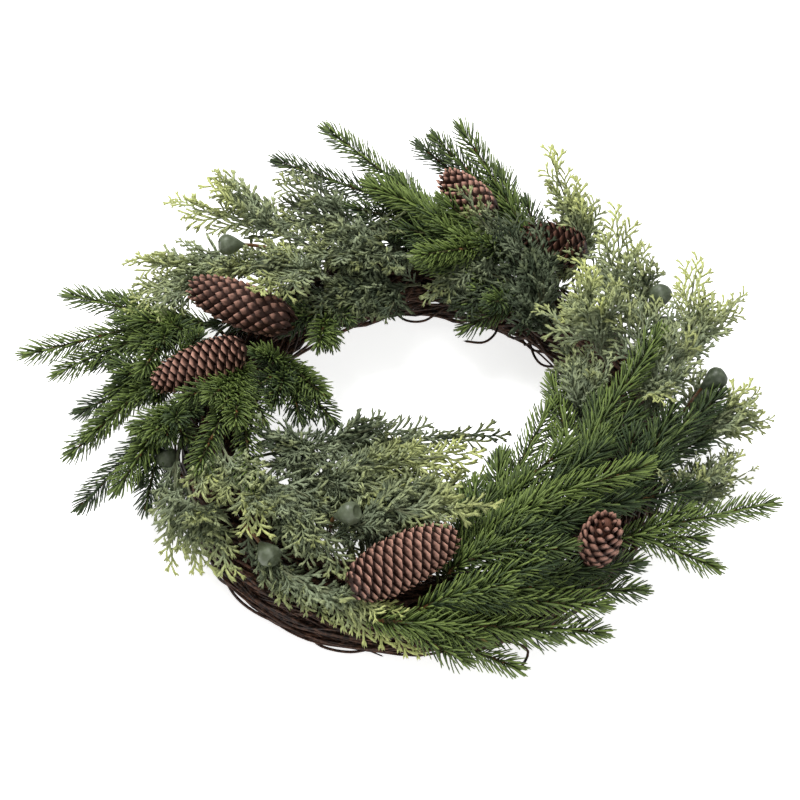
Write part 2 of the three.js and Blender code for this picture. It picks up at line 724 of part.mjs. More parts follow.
// Length of a branchlet as a share of the longest, from the stem's root to its tip.
function fanShare(share) {
  return Math.sin(Math.PI * lerp(0.25, 0.9, share)) * lerp(1, 0.8, share);
}

function growBranchlet(growth, stem, facet, hand, face, length) {
  const side = new THREE.Vector3().crossVectors(face, facet.direction).normalize();
  const spread = degToRad(46);
  const heading = facet.direction.clone().multiplyScalar(Math.cos(spread));
  heading.addScaledVector(side, hand * Math.sin(spread)).normalize();
  const from = growth.middle(facet);
  const bend = facet.direction.clone().multiplyScalar(0.16 * length);
  const path = [
    from,
    from.clone().addScaledVector(heading, 0.55 * length).addScaledVector(bend, 0.25),
    from.clone().addScaledVector(heading, 0.94 * length).add(bend),
  ];
  const clear = path.slice(1).every((p, i) => isClear(path[i], p, 1.9, 1.3, [stem.id]));
  if (!clear) return false;
  const id = `${stem.id}:${facet.step}:${hand}`;
  const facets = growth.attempt(() => growth.branch(facet, path, [0, 1.8, 0], face));
  if (!facets) return false;
  path.slice(1).forEach((p, i) => claim(path[i], p, 1.6, 1.4, id));
  growFingers(growth, stem, facets, face, id, heading);
  return true;
}

// Twiglets edge the branchlet on both sides, and point forwards.
function growFingers(growth, stem, facets, face, id, heading) {
  const side = new THREE.Vector3().crossVectors(face, heading).normalize();
  facets.forEach((facet) => {
    if (facet.step === 1 && facet.row === 0) return;
    const middle = growth.middle(facet);
    const out = middle.clone().sub(facet.at).dot(side);
    if (Math.abs(out) < 0.25) return;
    const spread = degToRad(38);
    const length = FINGER_LENGTH * (facet.row === undefined ? 0.6 : 0.85 + 0.3 * draw());
    const apex = middle
      .clone()
      .addScaledVector(facet.direction, length * Math.cos(spread))
      .addScaledVector(side, Math.sign(out) * length * Math.sin(spread));
    drawIfClear(growth, facet, apex, FINGER_BASE, id);
  });
}

function growCedar(stem) {
  const growth = new Growth();
  const face = faceOf(stem);
  growth.stem(stem.points, stem.radii, acrossPath(stem.points, face), stem.points.map(() => -Math.PI / 2));
  const last = stem.points.length - 1;
  for (let step = stem.bare + 1; step < last; step++) {
    const share = (step - stem.bare) / (last - stem.bare);
    const hands = step % 2 ? [1, -1] : [-1, 1];
    hands.forEach((hand, order) => {
      const wanted = hand > 0 ? 0 : 2;
      const facet = growth.facets.find(
        (f) => f.step === step && f.side === wanted && f.row === (order + (hand > 0 ? 0 : 1)) % 2 && !f.drawn,
      );
      if (!facet || (order === 1 && share < 0.2)) return;
      const longest = stem.spread * fanShare(share) * (order ? 0.85 : 1);
      [1, 0.7, 0.45].some((cut) => growBranchlet(growth, stem, facet, hand, face, longest * cut));
    });
  }
  keep(stem.node, growth.solid());
}

function growStalk(stem) {
  const growth = new Growth();
  growth.stem(stem.points, stem.radii, acrossPath(stem.points, UP), stem.points.map(() => 0));
  keep(stem.node, growth.solid());
}

// ---- Cones: rows of overlapping scales, raised on a spindle ----
const SCALES_ROUND = 7;
const SCALE_ROWS = 8;

function coneSolid({ base, tip, radius }) {
  const from = polar(base);
  const axis = polar(tip).sub(from);
  const length = axis.length();
  axis.normalize();
  const side = new THREE.Vector3().crossVectors(axis, UP).normalize();
  const over = new THREE.Vector3().crossVectors(axis, side);
  const growth = new Growth();
  const place = (share, angle, reach) =>
    from
      .clone()
      .addScaledVector(axis, share * length)
      .addScaledVector(side, reach * Math.cos(angle))
      .addScaledVector(over, reach * Math.sin(angle));
  const angleOf = (row, k) => (2 * Math.PI * (k + (row % 2) / 2)) / SCALES_ROUND;
  const grid = [];
  for (let row = 0; row <= SCALE_ROWS; row++) {
    const share = row / SCALE_ROWS;
    const reach = radius * (profile(share) * 0.86);
    grid.push(
      [...Array(SCALES_ROUND).keys()].map((k) => growth.add(place(share, angleOf(row, k), reach))),
    );
  }
  // Each scale is a lozenge over two rows, drawn out to a lip near its forward end.
  for (let row = 0; row + 2 <= SCALE_ROWS; row++) {
    for (let k = 0; k < SCALES_ROUND; k++) {
      const odd = row % 2;
      const left = grid[row + 1][(k + odd + SCALES_ROUND - 1) % SCALES_ROUND];
      const right = grid[row + 1][(k + odd) % SCALES_ROUND];
      const foot = grid[row][k];
      const head = grid[row + 2][k];
      const share = (row + 1.5) / SCALE_ROWS;
      const lip = growth.add(place(share, angleOf(row, k), radius * profile(share) + 1.6));
      [[foot, right], [right, head], [head, left], [left, foot]].forEach(([m, n]) =>
        growth.facet(m, n, lip),
      );
    }
  }
  capRow(growth, grid, 0, growth.add(place(-0.02, 0, 0)), true);
  capRow(growth, grid, SCALE_ROWS, growth.add(place(1.04, 0, 0)), false);
  return growth.solid();
}

// Closes an end of a cone: a zigzag of triangles, then a fan to the middle.
function capRow(growth, grid, row, middle, atBase) {
  const near = atBase ? 1 : row - 1;
  for (let k = 0; k < SCALES_ROUND; k++) {
    const next = (k + 1) % SCALES_ROUND;
    const odd = row % 2;
    const between = grid[near][(k + odd) % SCALES_ROUND];
    const ends = [grid[row][k], grid[row][next]];
    if (atBase) {
      growth.facet(ends[0], ends[1], between);
      growth.facet(ends[1], ends[0], middle);
    } else {
      growth.facet(ends[1], ends[0], between);
      growth.facet(ends[0], ends[1], middle);
    }
  }
}

// ---- Pods: blunt drops with a flat crown, narrowed to the stalk ----
function podSolid(at, heading) {
  const profilePoints = [
    [0, -1.45],
    [0.34, -1.05],
    [0.96, 0.05],
    [0.6, 0.85],
    [0, 0.8],
  ].map(([x, y]) => new THREE.Vector2(x * POD_RADIUS, y * POD_RADIUS));
  const lathe = new THREE.LatheGeometry(profilePoints, 6);
  lathe.applyQuaternion(new THREE.Quaternion().setFromUnitVectors(new THREE.Vector3(0, 1, 0), heading));
  lathe.translate(at.x, at.y, at.z);
  return solidFrom(lathe);
}

// ---- The twig base: vines wound into a ring, pressed flat below ----
const VINES = 7;
const RING_STEPS = 42;
const WINDINGS = 4; // turns of the vines round the bundle in one round of the ring
const VINE_CREST = 1.05; // how far out a vine stands, as a share of the bundle's half size
const VINE_VALLEY = 0.8; // the same for the groove between two vines
const PRESSED_BELOW = -0.55; // sine of the angle under which there are no grooves
const VINE_WANDER = 0.04;

function bundleSolid() {
  const growth = new Growth();
  const count = VINES * 2;
  const grid = [];
  for (let i = 0; i < RING_STEPS; i++) {
    const degrees = (360 * i) / RING_STEPS;
    grid.push(
      [...Array(count).keys()].map((k) => {
        const around = (360 * k) / count + (WINDINGS * 360 * i) / RING_STEPS;
        const pressed = Math.sin(degToRad(around)) < PRESSED_BELOW;
        const wander = VINE_WANDER * Math.sin(3 * degToRad(degrees) + k);
        const share = k % 2 && !pressed ? VINE_VALLEY : VINE_CREST;
        const point = inBundle([degrees, around], share + wander);
        point.z = Math.max(point.z, 0);
        return growth.add(point);
      }),
    );
  }
  const shift = (2 * VINES * WINDINGS) % count;
  for (let i = 0; i < RING_STEPS; i++) {
    const here = grid[i];
    const next = grid[(i + 1) % RING_STEPS];
    const turn = i + 1 === RING_STEPS ? shift : 0;
    for (let k = 0; k < count; k++) {
      const a = here[k];
      const b = here[(k + 1) % count];
      const c = next[(k + 1 + turn) % count];
      const d = next[(k + turn) % count];
      growth.facet(a, d, b);
      growth.facet(d, c, b);
    }
  }
  return growth.solid();
}

function vineEnd(path) {
  const growth = new Growth();
  growth.stem(path, path.map(() => VINE_RADIUS), acrossPath(path, UP), path.map(() => 0));
  return growth.solid();
}

const POCKET_AIR = 1.1; // round a stem in its hole
const POCKET_DEPTH = 0.8; // below the stem's end

// The hole that a stem is pushed into.
function pocket(stem) {
  const path = stem.points.slice(0, 4).map((p) => p.clone());
  const back = path[0].clone().sub(path[1]).normalize();
  path[0].addScaledVector(back, POCKET_DEPTH);
  const radii = stem.radii.slice(0, 4).map((r) => r + POCKET_AIR);
  const turns = stem.points.map((_, i) => {
    if (stem.kind === "spruce") return i * WHORL_TURN;
    return stem.kind === "cedar" ? -Math.PI / 2 : 0;
  });
  const across = acrossPath(stem.points, stem.kind === "cedar" ? faceOf(stem) : UP);
  const growth = new Growth();
  growth.stem(path, radii, across, turns);
  return growth.solid();
}

function baseSolid() {
  const bundle = wasm.Manifold.union([bundleSolid(), ...vineLines.map(vineEnd)]);
  const pockets = stems.filter((stem) => !stem.tied).map(pocket);
  return bundle.subtract(wasm.Manifold.union(pockets));
}

// ---- Materials ----
const material = (name, color, roughness) =>
  new THREE.MeshStandardMaterial({ name, color, roughness, metalness: 0, flatShading: true });
const MATERIALS = {
  vine: material("vine", 0x2e1f1a, 0.8),
  spruce: material("spruce", 0x3c5a2c, 0.6),
  cedar: material("cedar", 0x66785a, 0.7),
  cone: material("cone", 0x7d5546, 0.75),
  pod: material("pod", 0x5c6b5f, 0.5),
};

// ---- Assembly ----
stems.filter((stem) => stem.kind === "spruce").forEach(growSpruce);
stems.filter((stem) => stem.kind === "cedar").forEach(growCedar);
stems.filter((stem) => stem.kind === "stalk").forEach(growStalk);
CONES.forEach((cone) => keep(cone.name, coneSolid(cone)));
stems
  .filter((stem) => stem.kind === "stalk" && stem.node.startsWith("pod"))
  .forEach((stem) => {
    const end = stem.points.at(-1);
    keep(stem.node, podSolid(end, end.clone().sub(stem.points.at(-2)).normalize()));
  });

const wreath = new THREE.Group();
wreath.name = "evergreen_wreath";

function place(name, solid, kind) {
  const mesh = new THREE.Mesh(geometryFrom(solid), MATERIALS[kind]);
  mesh.name = name;
  wreath.add(mesh);
}

place("twig_ring", baseSolid(), "vine");
parts.forEach((solids, name) => {
  const joined = geometryFrom(wasm.Manifold.union(solids));
  const bodies = solidFrom(joined).decompose(); // points that meet are merged, loose scraps dropped
  const whole = bodies.reduce((a, b) => (b.volume() > a.volume() ? b : a));
  place(name, whole, name.split("_")[0].replace("pods", "pod"));
});

// The origin is on the surface that the wreath lies on, under the middle of its outline.
const outline = new THREE.Box3().setFromObject(wreath, true);
const middle = outline.getCenter(new THREE.Vector3());
wreath.position.set(-middle.x, -middle.y, 0);
wreath.updateMatrixWorld(true);

export default wreath;
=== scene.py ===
# A fresh evergreen wreath, lying flat: spruce sprigs, cedar sprays, cones and gum pods
# on a round base wound from dark vine. Metres, +Z up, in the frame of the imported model.
import math

import bmesh
import bpy
import numpy as np
from mathutils import Matrix, Vector


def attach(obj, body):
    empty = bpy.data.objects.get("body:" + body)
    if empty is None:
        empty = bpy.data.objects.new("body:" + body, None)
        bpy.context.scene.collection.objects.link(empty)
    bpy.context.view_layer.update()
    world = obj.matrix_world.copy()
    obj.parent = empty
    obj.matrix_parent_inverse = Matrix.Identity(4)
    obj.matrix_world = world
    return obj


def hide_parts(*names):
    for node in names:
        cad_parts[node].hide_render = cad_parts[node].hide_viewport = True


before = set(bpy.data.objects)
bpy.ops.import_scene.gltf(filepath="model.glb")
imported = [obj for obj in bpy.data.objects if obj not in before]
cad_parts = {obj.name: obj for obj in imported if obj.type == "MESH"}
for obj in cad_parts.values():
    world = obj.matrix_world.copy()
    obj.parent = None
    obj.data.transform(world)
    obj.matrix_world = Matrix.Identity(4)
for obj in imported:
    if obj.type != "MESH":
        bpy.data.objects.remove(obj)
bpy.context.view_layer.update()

# ---- Studio -----------------------------------------------------------------------------
# The wreath lies on a seamless white sheet, under a broad light from behind and above, a
# weak one in front and the white walls of the room. The camera looks down from the front.
MIDDLE_X = 0.026  # middle of the vine base
MIDDLE_Y = -0.021
CAMERA_X = MIDDLE_X - 0.016
CAMERA_AT = Vector((CAMERA_X, MIDDLE_Y - 0.85105, 1.118))
CAMERA_AIM = Vector((CAMERA_X, MIDDLE_Y + 0.03, 0.03))
LENS = 80  # millimetres, as is the width of the sensor
SENSOR_WIDTH = 36
SOFTBOXES = {  # place, width, power
    "softbox_above": ((-0.45, 0.55, 1.9), 0.9, 43),
    "softbox_front": ((0.7, -1.5, 1.3), 1.0, 8),
}
ROOM_WHITE = (1, 1, 1, 1)
ROOM_GLOW = 0.37
SHEET_HALF_SIDE = 4
SHEET_WHITE = (0.93, 0.93, 0.93, 1.0)
SHEET_ROUGHNESS = 0.9
SHEET_GLOW = 0.8

lens = bpy.data.cameras.new("camera")
lens.lens = LENS
lens.sensor_width = SENSOR_WIDTH
camera = bpy.data.objects.new("camera", lens)
camera.location = CAMERA_AT
camera.rotation_euler = (CAMERA_AIM - CAMERA_AT).to_track_quat("-Z", "Y").to_euler()
bpy.context.collection.objects.link(camera)
bpy.context.scene.camera = camera
bpy.context.scene.view_settings.view_transform = "Standard"

for name, (place, width, power) in SOFTBOXES.items():
    lamp = bpy.data.lights.new(name, "AREA")
    lamp.size = width
    lamp.energy = power
    light = bpy.data.objects.new(name, lamp)
    light.location = place
    light.rotation_euler = (-Vector(place)).to_track_quat("-Z", "Y").to_euler()
    bpy.context.collection.objects.link(light)

room = bpy.data.worlds.new("white_room")
room.use_nodes = True
walls = room.node_tree.nodes["Background"].inputs
walls["Color"].default_value = ROOM_WHITE
walls["Strength"].default_value = ROOM_GLOW
bpy.context.scene.world = room

sheet = bmesh.new()
bmesh.ops.create_grid(sheet, x_segments=2, y_segments=2, size=SHEET_HALF_SIDE)
floor_mesh = bpy.data.meshes.new("floor")
sheet.to_mesh(floor_mesh)
sheet.free()
floor = bpy.data.objects.new("floor", floor_mesh)
bpy.context.collection.objects.link(floor)
paper = bpy.data.materials.new("white_paper")
paper.use_nodes = True
surface = paper.node_tree.nodes["Principled BSDF"].inputs
surface["Base Color"].default_value = SHEET_WHITE
surface["Roughness"].default_value = SHEET_ROUGHNESS
surface["Emission Color"].default_value = SHEET_WHITE
surface["Emission Strength"].default_value = SHEET_GLOW
floor_mesh.materials.append(paper)


# ---- Base of vines ----------------------------------------------------------------------
# Long thin grapevine runners, wound green into a ring and dried: dark, red-brown where the
# light catches them. Nothing ties them, and ends and loops have sprung out of the bundle.
RING_RADIUS = 0.163
RING_HALF_WIDTH = 0.028
RING_HALF_HEIGHT = 0.028
RING_HEIGHT = 0.022  # middle of the bundle
STEM_DEPTH = 0.5  # where stems begin in the bundle, 0 at its middle and 1 at its surface
STEM_EXIT = 1.2
VINES = 150  # wound round and round
VINE_RINGS = 64
VINE_RADII = (0.0007, 0.0017)
VINE_TURNS = (0.5, 1.15)  # of the ring
VINE_TWIST = (1.6, 1.2)  # turns round the bundle on one of the ring: mean and spread
VINE_DEPTHS = (0.12, 1.0)  # squared, so that vines fill the section evenly
VINE_WAVES = (2, 3, 5, 7, 11)  # how often a vine sways on one turn of the ring
BULGING_VINES = 95  # bare ones that swell outwards at the front left
BULGE_STARTS = (204, 228)
BULGE_SPANS = (24, 54)
BULGE_RADII = (0.0006, 0.0013)
BULGE_SIDES = (-0.9, 0.5)  # angles round the bundle, 0 outwards
BULGE_SWELLS = (-0.05, 0.32)  # shares of the bundle's half width
LOWEST_BULGE = 0.0015
SPREAD_ENDS = 71  # loose ends all round the ring
FRONT_ENDS = 49  # and over its bare front
BARE_FRONT = (210, 272)
END_RADII = (0.0009, 0.0005)
END_SIDES = (-1.2, 4.2)
END_SWEEPS = (6, 16)  # degrees round the ring
END_DEPTHS = (1.05, 1.3)  # 1 is at the surface of the bundle
LOWEST_END = 0.001
LOOP_RINGS = 24
LOOP_RADIUS = 0.0011
UP = np.array([0.0, 0.0, 1.0])
SLANT = Vector((1.0, 3.7, 17.3))  # no two faces of a small shape are level along it

# Loops that have sprung out: degrees round the ring, distance from its middle, height.
LOOPS = [
    [(278, 178, 8), (284, 186, 16), (289, 197, 22), (292, 203, 12), (289, 212, 5)],
    [(72, 145, 20), (64, 139, 18), (60, 126, 22), (62, 112, 20), (70, 103, 24)],
    [(54, 146, 14), (50, 140, 12), (45, 134, 6), (40, 133, 6), (34, 141, 12), (28, 147, 16)],
    [(104, 147, 16), (100, 144, 14), (95, 134, 8), (88, 133, 8), (82, 142, 14), (78, 147, 16)],
    [(224, 178, 16), (228, 184, 14), (234, 190, 10), (241, 190, 8), (248, 184, 12), (252, 178, 14)],
    [(240, 178, 12), (243, 184, 10), (247, 193, 5), (254, 191, 4), (260, 184, 8), (264, 178, 12)],
]


def paint(red, green, blue):
    """A colour by its screen values, 0 to 255."""
    return tuple(((v / 255 + 0.055) / 1.055) ** 2.4 for v in (red, green, blue)) + (1.0,)


class Level:
    """A number that changes over a surface. Sums with it add Math nodes."""

    def __init__(self, finish, socket):
        self.finish = finish
        self.socket = socket

    def sum(self, operation, first, second):
        node = self.finish.node("Math", {"operation": operation}, {0: first, 1: second})
        return Level(self.finish, node.outputs[0])

    def __add__(self, other):
        return self.sum("ADD", self, other)

    def __sub__(self, other):
        return self.sum("SUBTRACT", self, other)

    def __rsub__(self, other):
        return self.sum("SUBTRACT", other, self)

    def __mul__(self, other):
        return self.sum("MULTIPLY", self, other)

    def between(self, low, high):
        """0 below low, 1 above high, smooth between."""
        settings = {"interpolation_type": "SMOOTHSTEP"}
        node = self.finish.node("MapRange", settings, {0: self, 1: low, 2: high})
        return Level(self.finish, node.outputs[0])

    __radd__ = __add__
    __rmul__ = __mul__


class Finish:
    """A material, with its nodes added one at a time."""

    def __init__(self, name, roughness):
        self.material = bpy.data.materials.new(name)
        self.material.use_nodes = True
        self.tree = self.material.node_tree
        self.shader = self.tree.nodes["Principled BSDF"]
        self.shader.inputs["Roughness"].default_value = roughness

    def plug(self, socket, value):
        value = getattr(value, "socket", value)
        if isinstance(value, bpy.types.NodeSocket):
            self.tree.links.new(socket, value)
        else:
            socket.default_value = value

    def node(self, kind, settings, inputs):
        node = self.tree.nodes.new("ShaderNode" + kind)
        for name, value in settings.items():
            setattr(node, name, value)
        for name, value in inputs.items():
            self.plug(node.inputs[name], value)
        return node

    def mix(self, share, first, second):
        """From the first colour at 0 to the second at 1."""
        node = self.node("Mix", {"data_type": "RGBA"}, {0: share, 6: first, 7: second})
        return node.outputs[2]

    def growth(self):
        """What each copy was laid with: how far along, shade, reach, and wood."""
        given = self.node("Attribute", {"attribute_name": "growth"}, {})
        parts = self.node("SeparateColor", {}, {0: given.outputs["Color"]})
        return [Level(self, s) for s in (*parts.outputs, given.outputs["Alpha"])]

    def noise(self, size, detail=3.0):
        """Blotches about size metres across, from -0.5 to 0.5."""
        place = self.node("TexCoord", {}, {}).outputs["Object"]
        scale = (1 / size, 1 / size, 1 / size)
        spread = self.node("Mapping", {}, {"Vector": place, "Scale": scale}).outputs[0]
        cloud = self.node("TexNoise", {}, {"Vector": spread, "Scale": 1.0, "Detail": detail})
        return Level(self, cloud.outputs[0]) - 0.5

    def bump(self, height, depth):
        node = self.node("Bump", {}, {"Height": height, "Distance": depth, "Strength": 1.0})
        self.plug(self.shader.inputs["Normal"], node.outputs[0])

    def set(self, **values):
        for name, value in values.items():
            self.plug(self.shader.inputs[name.replace("_", " ")], value)


class Shape:
    """A small mesh that is laid many times over, its faces in the same order each run."""

    def __init__(self, bm):
        bm.faces.sort(key=lambda face: face.calc_center_median().dot(SLANT))
        for face in bm.faces:
            face.smooth = True
        self.mesh = bpy.data.meshes.new("shape")
        bm.to_mesh(self.mesh)
        bm.free()
        flat = np.zeros(len(self.mesh.vertices) * 3, np.float32)
        self.mesh.vertices.foreach_get("co", flat)
        self.corners = flat.reshape(-1, 3).astype(float)


def tube(rings, sides):
    """A closed tube up +Z, its rings one apart and the last one drawn to a point."""
    bm = bmesh.new()
    bmesh.ops.create_circle(bm, cap_ends=True, radius=1.0, segments=sides)
    end = bm.faces[:]
    for _ in range(1, rings):
        grown = bmesh.ops.extrude_face_region(bm, geom=end)["geom"]
        end = [g for g in grown if isinstance(g, bmesh.types.BMFace)]
        corners = [g for g in grown if isinstance(g, bmesh.types.BMVert)]
        bmesh.ops.translate(bm, verts=corners, vec=(0, 0, 1))
    bmesh.ops.pointmerge(bm, verts=corners, merge_co=(0, 0, rings - 1))
    bmesh.ops.recalc_face_normals(bm, faces=bm.faces[:])
    return Shape(bm)


def unit(vectors):
    return vectors / np.linalg.norm(vectors, axis=-1, keepdims=True)


class Bunch:
    """Copies of small shapes, gathered in one mesh."""

    def __init__(self):
        self.bm = bmesh.new()
        self.tints = []

    def lay(self, shape, corners, tints):
        """corners: copies x corners x 3. tints: copies x corners x 4."""
        for places in corners.astype(np.float32):
            shape.mesh.vertices.foreach_set("co", places.ravel())
            self.bm.from_mesh(shape.mesh, face_normals=False)
        self.tints.append(tints.reshape(-1, 4))

    def lay_tubes(self, shape, paths, widths, across, shade, reach, wood=0.0, flat=1.0):
        """paths: copies x rings x 3. widths: a radius for each ring."""
        heading = unit(np.gradient(paths, axis=1))
        over = unit(np.cross(heading, across))
        side = np.cross(over, heading)
        ring = np.rint(shape.corners[:, 2]).astype(int)
        x = shape.corners[:, 0, None]
        y = shape.corners[:, 1, None] * flat
        wide = np.broadcast_to(widths, paths.shape[:2])[:, ring, None]
        corners = paths[:, ring] + wide * (x * side[:, ring] + y * over[:, ring])
        tints = np.empty(corners.shape[:2] + (4,))
        tints[..., 0] = ring / ring.max()
        tints[..., 1] = np.reshape(shade, (-1, 1))
        tints[..., 2] = np.reshape(reach, (-1, 1))
        tints[..., 3] = wood
        self.lay(shape, corners, tints)

    def finish(self, name, finish, slot):
        mesh = bpy.data.meshes.new(name)
        self.bm.to_mesh(mesh)
        self.bm.free()
        growth = mesh.attributes.new("growth", "FLOAT_COLOR", "POINT")
        growth.data.foreach_set("color", np.concatenate(self.tints).astype(np.float32).ravel())
        mesh.materials.append(finish.material)
        piece = bpy.data.objects.new(name, mesh)
        bpy.context.collection.objects.link(piece)
        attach(piece, "root")
        return piece


def ring_point(degrees, distance, height):
    """A place by its angle round the ring, distance from its middle and height. Millimetres."""
    angle = np.radians(degrees)
    x = MIDDLE_X + distance / 1000 * np.cos(angle)
    y = MIDDLE_Y + distance / 1000 * np.sin(angle)
    return np.stack(np.broadcast_arrays(x, y, height / 1000), axis=-1)


def in_bundle(degrees, around, share):
    """A place in the bundle's section: share 0 is its middle and 1 its surface."""
    distance = RING_RADIUS + RING_HALF_WIDTH * share * np.cos(around)
    height = RING_HEIGHT + RING_HALF_HEIGHT * share * np.sin(around)
    return ring_point(degrees, distance * 1000, height * 1000)


def smooth_line(points, count):
    """Evenly spaced points on a rounded line through the ones given."""
    points = np.array(points, float)
    ends = [2 * points[0] - points[1], *points, 2 * points[-1] - points[-2]]
    fine = []
    for a, b, c, d in zip(ends, ends[1:], ends[2:], ends[3:]):
        t = np.linspace(0, 1, 12, endpoint=False)[:, None]
        fine.append(
            0.5 * (2 * b + (c - a) * t + (2 * a - 5 * b + 4 * c - d) * t**2)
            + 0.5 * (3 * b - a - 3 * c + d) * t**3
        )
    return evenly(np.concatenate([*fine, points[-1:]]), count)


def evenly(line, count, short=0.0):
    """Evenly spaced points along a line, the last one short of its end."""
    run = np.concatenate([[0], np.cumsum(np.linalg.norm(np.diff(line, axis=0), axis=1))])
    at = np.linspace(0, run[-1] - short, count)
    return np.stack([np.interp(at, run, line[:, k]) for k in range(3)], axis=1)


BARK_DARK = paint(24, 15, 10)
BARK_LIGHT = paint(62, 40, 29)
BARK_HIGHLIGHT = paint(112, 78, 58)
vine_finish = Finish("vine_bark", 0.62)
_, shade, _, _ = vine_finish.growth()
# Pale red-brown streaks over the bark are painted highlights, where the light catches the runners.
streaks = (vine_finish.noise(0.004, 4.0) + 0.1).between(0.0, 0.3)
bark = vine_finish.mix(shade, BARK_DARK, BARK_LIGHT)
highlit_bark = vine_finish.mix(streaks * 0.6, bark, BARK_HIGHLIGHT)
vine_finish.set(Base_Color=highlit_bark, Specular_IOR_Level=0.3)
vine_finish.bump(vine_finish.noise(0.0012, 3.0), 0.0005)

draw = np.random.default_rng(11)
vine_tube = tube(VINE_RINGS, 5)
base = Bunch()
for vine in range(VINES):
    depth = math.sqrt(draw.uniform(*VINE_DEPTHS))
    twist = draw.normal(*VINE_TWIST)
    span = draw.uniform(*VINE_TURNS) * 360
    start = draw.uniform(0, 360)
    degrees = start + np.linspace(0, span, VINE_RINGS)
    wave = sum(
        draw.uniform(0.02, 0.12) * np.sin(np.radians(degrees) * k + draw.uniform(0, 6.28))
        for k in VINE_WAVES
    )
    around = draw.uniform(0, 6.28) + np.radians(degrees - start) * twist + 2.2 * wave
    radius = draw.uniform(*VINE_RADII)
    share = np.clip(depth * (1 + wave) * 0.98, 0, 1.06)
    path = in_bundle(degrees, around, share)
    path[:, 2] = np.maximum(path[:, 2], radius * 1.1)
    widths = radius * (1 + 0.18 * np.sin(np.linspace(0, 40, VINE_RINGS) + vine))
    widths[-1] *= 0.6
    base.lay_tubes(vine_tube, path[None], widths, UP, draw.uniform(0, 1) ** 1.5, 0.0)

loop_tube = tube(LOOP_RINGS, 5)
for loop in LOOPS:
    line = smooth_line([ring_point(*point) for point in loop], LOOP_RINGS)
    widths = np.full(LOOP_RINGS, LOOP_RADIUS)
    base.lay_tubes(loop_tube, line[None], widths, UP, draw.uniform(0, 0.6), 0.0)

# Low on the front left the vines bulge outwards, with nothing over them.
swell = np.sin(np.linspace(0, math.pi, LOOP_RINGS))
for vine in range(BULGING_VINES):
    start = draw.uniform(*BULGE_STARTS)
    degrees = start + np.linspace(0, draw.uniform(*BULGE_SPANS), LOOP_RINGS)
    sway = np.sin(np.linspace(0, draw.uniform(4, 12), LOOP_RINGS) + draw.uniform(0, 6.28))
    around = draw.uniform(*BULGE_SIDES) + 0.35 * swell * draw.normal(0, 1) + 0.22 * sway
    depth = 0.9 + swell * (draw.uniform(*BULGE_SWELLS) + 0.07 * sway)
    path = in_bundle(degrees, around, depth)
    path[:, 2] = np.maximum(path[:, 2], LOWEST_BULGE)
    widths = np.full(LOOP_RINGS, draw.uniform(*BULGE_RADII))
    base.lay_tubes(loop_tube, path[None], widths, UP, draw.uniform(0, 1) ** 1.5, 0.0)

# Short broken ends stick out of the bundle.
for end in range(SPREAD_ENDS + FRONT_ENDS):
    degrees = draw.uniform(0, 360) if end < SPREAD_ENDS else draw.uniform(*BARE_FRONT)
    around = draw.uniform(*END_SIDES)
    sweep = draw.uniform(*END_SWEEPS)
    away = draw.uniform(*END_DEPTHS)
    points = [
        in_bundle(degrees, around, 0.8),
        in_bundle(degrees + sweep * 0.5, around + 0.1, 1.0),
        in_bundle(degrees + sweep, around + draw.uniform(-0.2, 0.4), away),
    ]
    line = smooth_line(points, LOOP_RINGS)
    line[:, 2] = np.maximum(line[:, 2], LOWEST_END)
    widths = np.linspace(*END_RADII, LOOP_RINGS)
    base.lay_tubes(loop_tube, line[None], widths, UP, draw.uniform(0, 1), 0.0)
vine_base = base.finish("vine_base", vine_finish, "vine")
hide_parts("twig_ring")


# ---- Spruce sprigs ----------------------------------------------------------------------
# Cut side shoots of spruce, stripped at the foot and pushed between the vines: a woody
# stem with stiff needles all round it, leaning to the bud, paler at their points, with painted
# shade at their feet near the stem.
NEEDLE_RADIUS = 0.00072
NEEDLE_STEPS = (0.0, 0.28, 0.6, 0.92, 1.0)  # where its rings are along a needle
NEEDLE_WIDTHS = NEEDLE_RADIUS * np.array([0.7, 1.0, 1.0, 0.8, 0.0])
NEEDLE_FLAT = 0.7
NEEDLE_SIZES = (0.86, 1.1)
NEEDLE_BENDS = (0.08, 0.2)
NEEDLE_SEAT = 0.001  # how far off the middle of the stem they begin
NEEDLE_LEAN = 62  # degrees off the stem, for a needle 12 mm long
NEEDLES_PER_METRE = 1850
PARTING = 0.3  # how far the needles are parted to the sides, in radians
BUD_REACH = 0.006  # how far needles reach past the end of the stem
GOLDEN_TURN = math.radians(137.5)
STEM_RINGS = 16
LINE_POINTS = 60  # that a shoot's line is drawn with
SHANK_RADIUS = 0.0017  # the stripped foot of a stem
STEM_RADIUS = 0.0016
TWIG_RADIUS = 0.0011
STEM_END_RADIUS = 0.0009
BUD_WIDTHS = np.array([0.0008, 0.0016, 0.0019, 0.0014, 0.0])
BUD_SPAN = (-0.004, 0.003)  # from the end of the stem
BARE_FOOT = 0.03  # the share of a shoot without needles
FORKS = (0.12, 0.2, 0.06, 0.16, 0.09, 0.24)  # where the other shoots leave the leader
SIDE_SHOOTS = 1  # on each shoot
SIDE_SHOOT_SPAN = (0.04, 0.4)  # between these shares of it
SIDE_SHOOT_LEAN = (16, 32)
SIDE_ROLL = (-35, 35)
LONGEST_SIDE_SHOOT = 0.048
TWIG_POINTS = 40
FOOT_ZONE = 0.02  # needles are shorter this near the foot
TIP_ZONE = 0.016  # and shorter and more upright this near the bud
LOWEST_NEEDLE = 0.0006
LOWEST_TWIG_END = 0.012
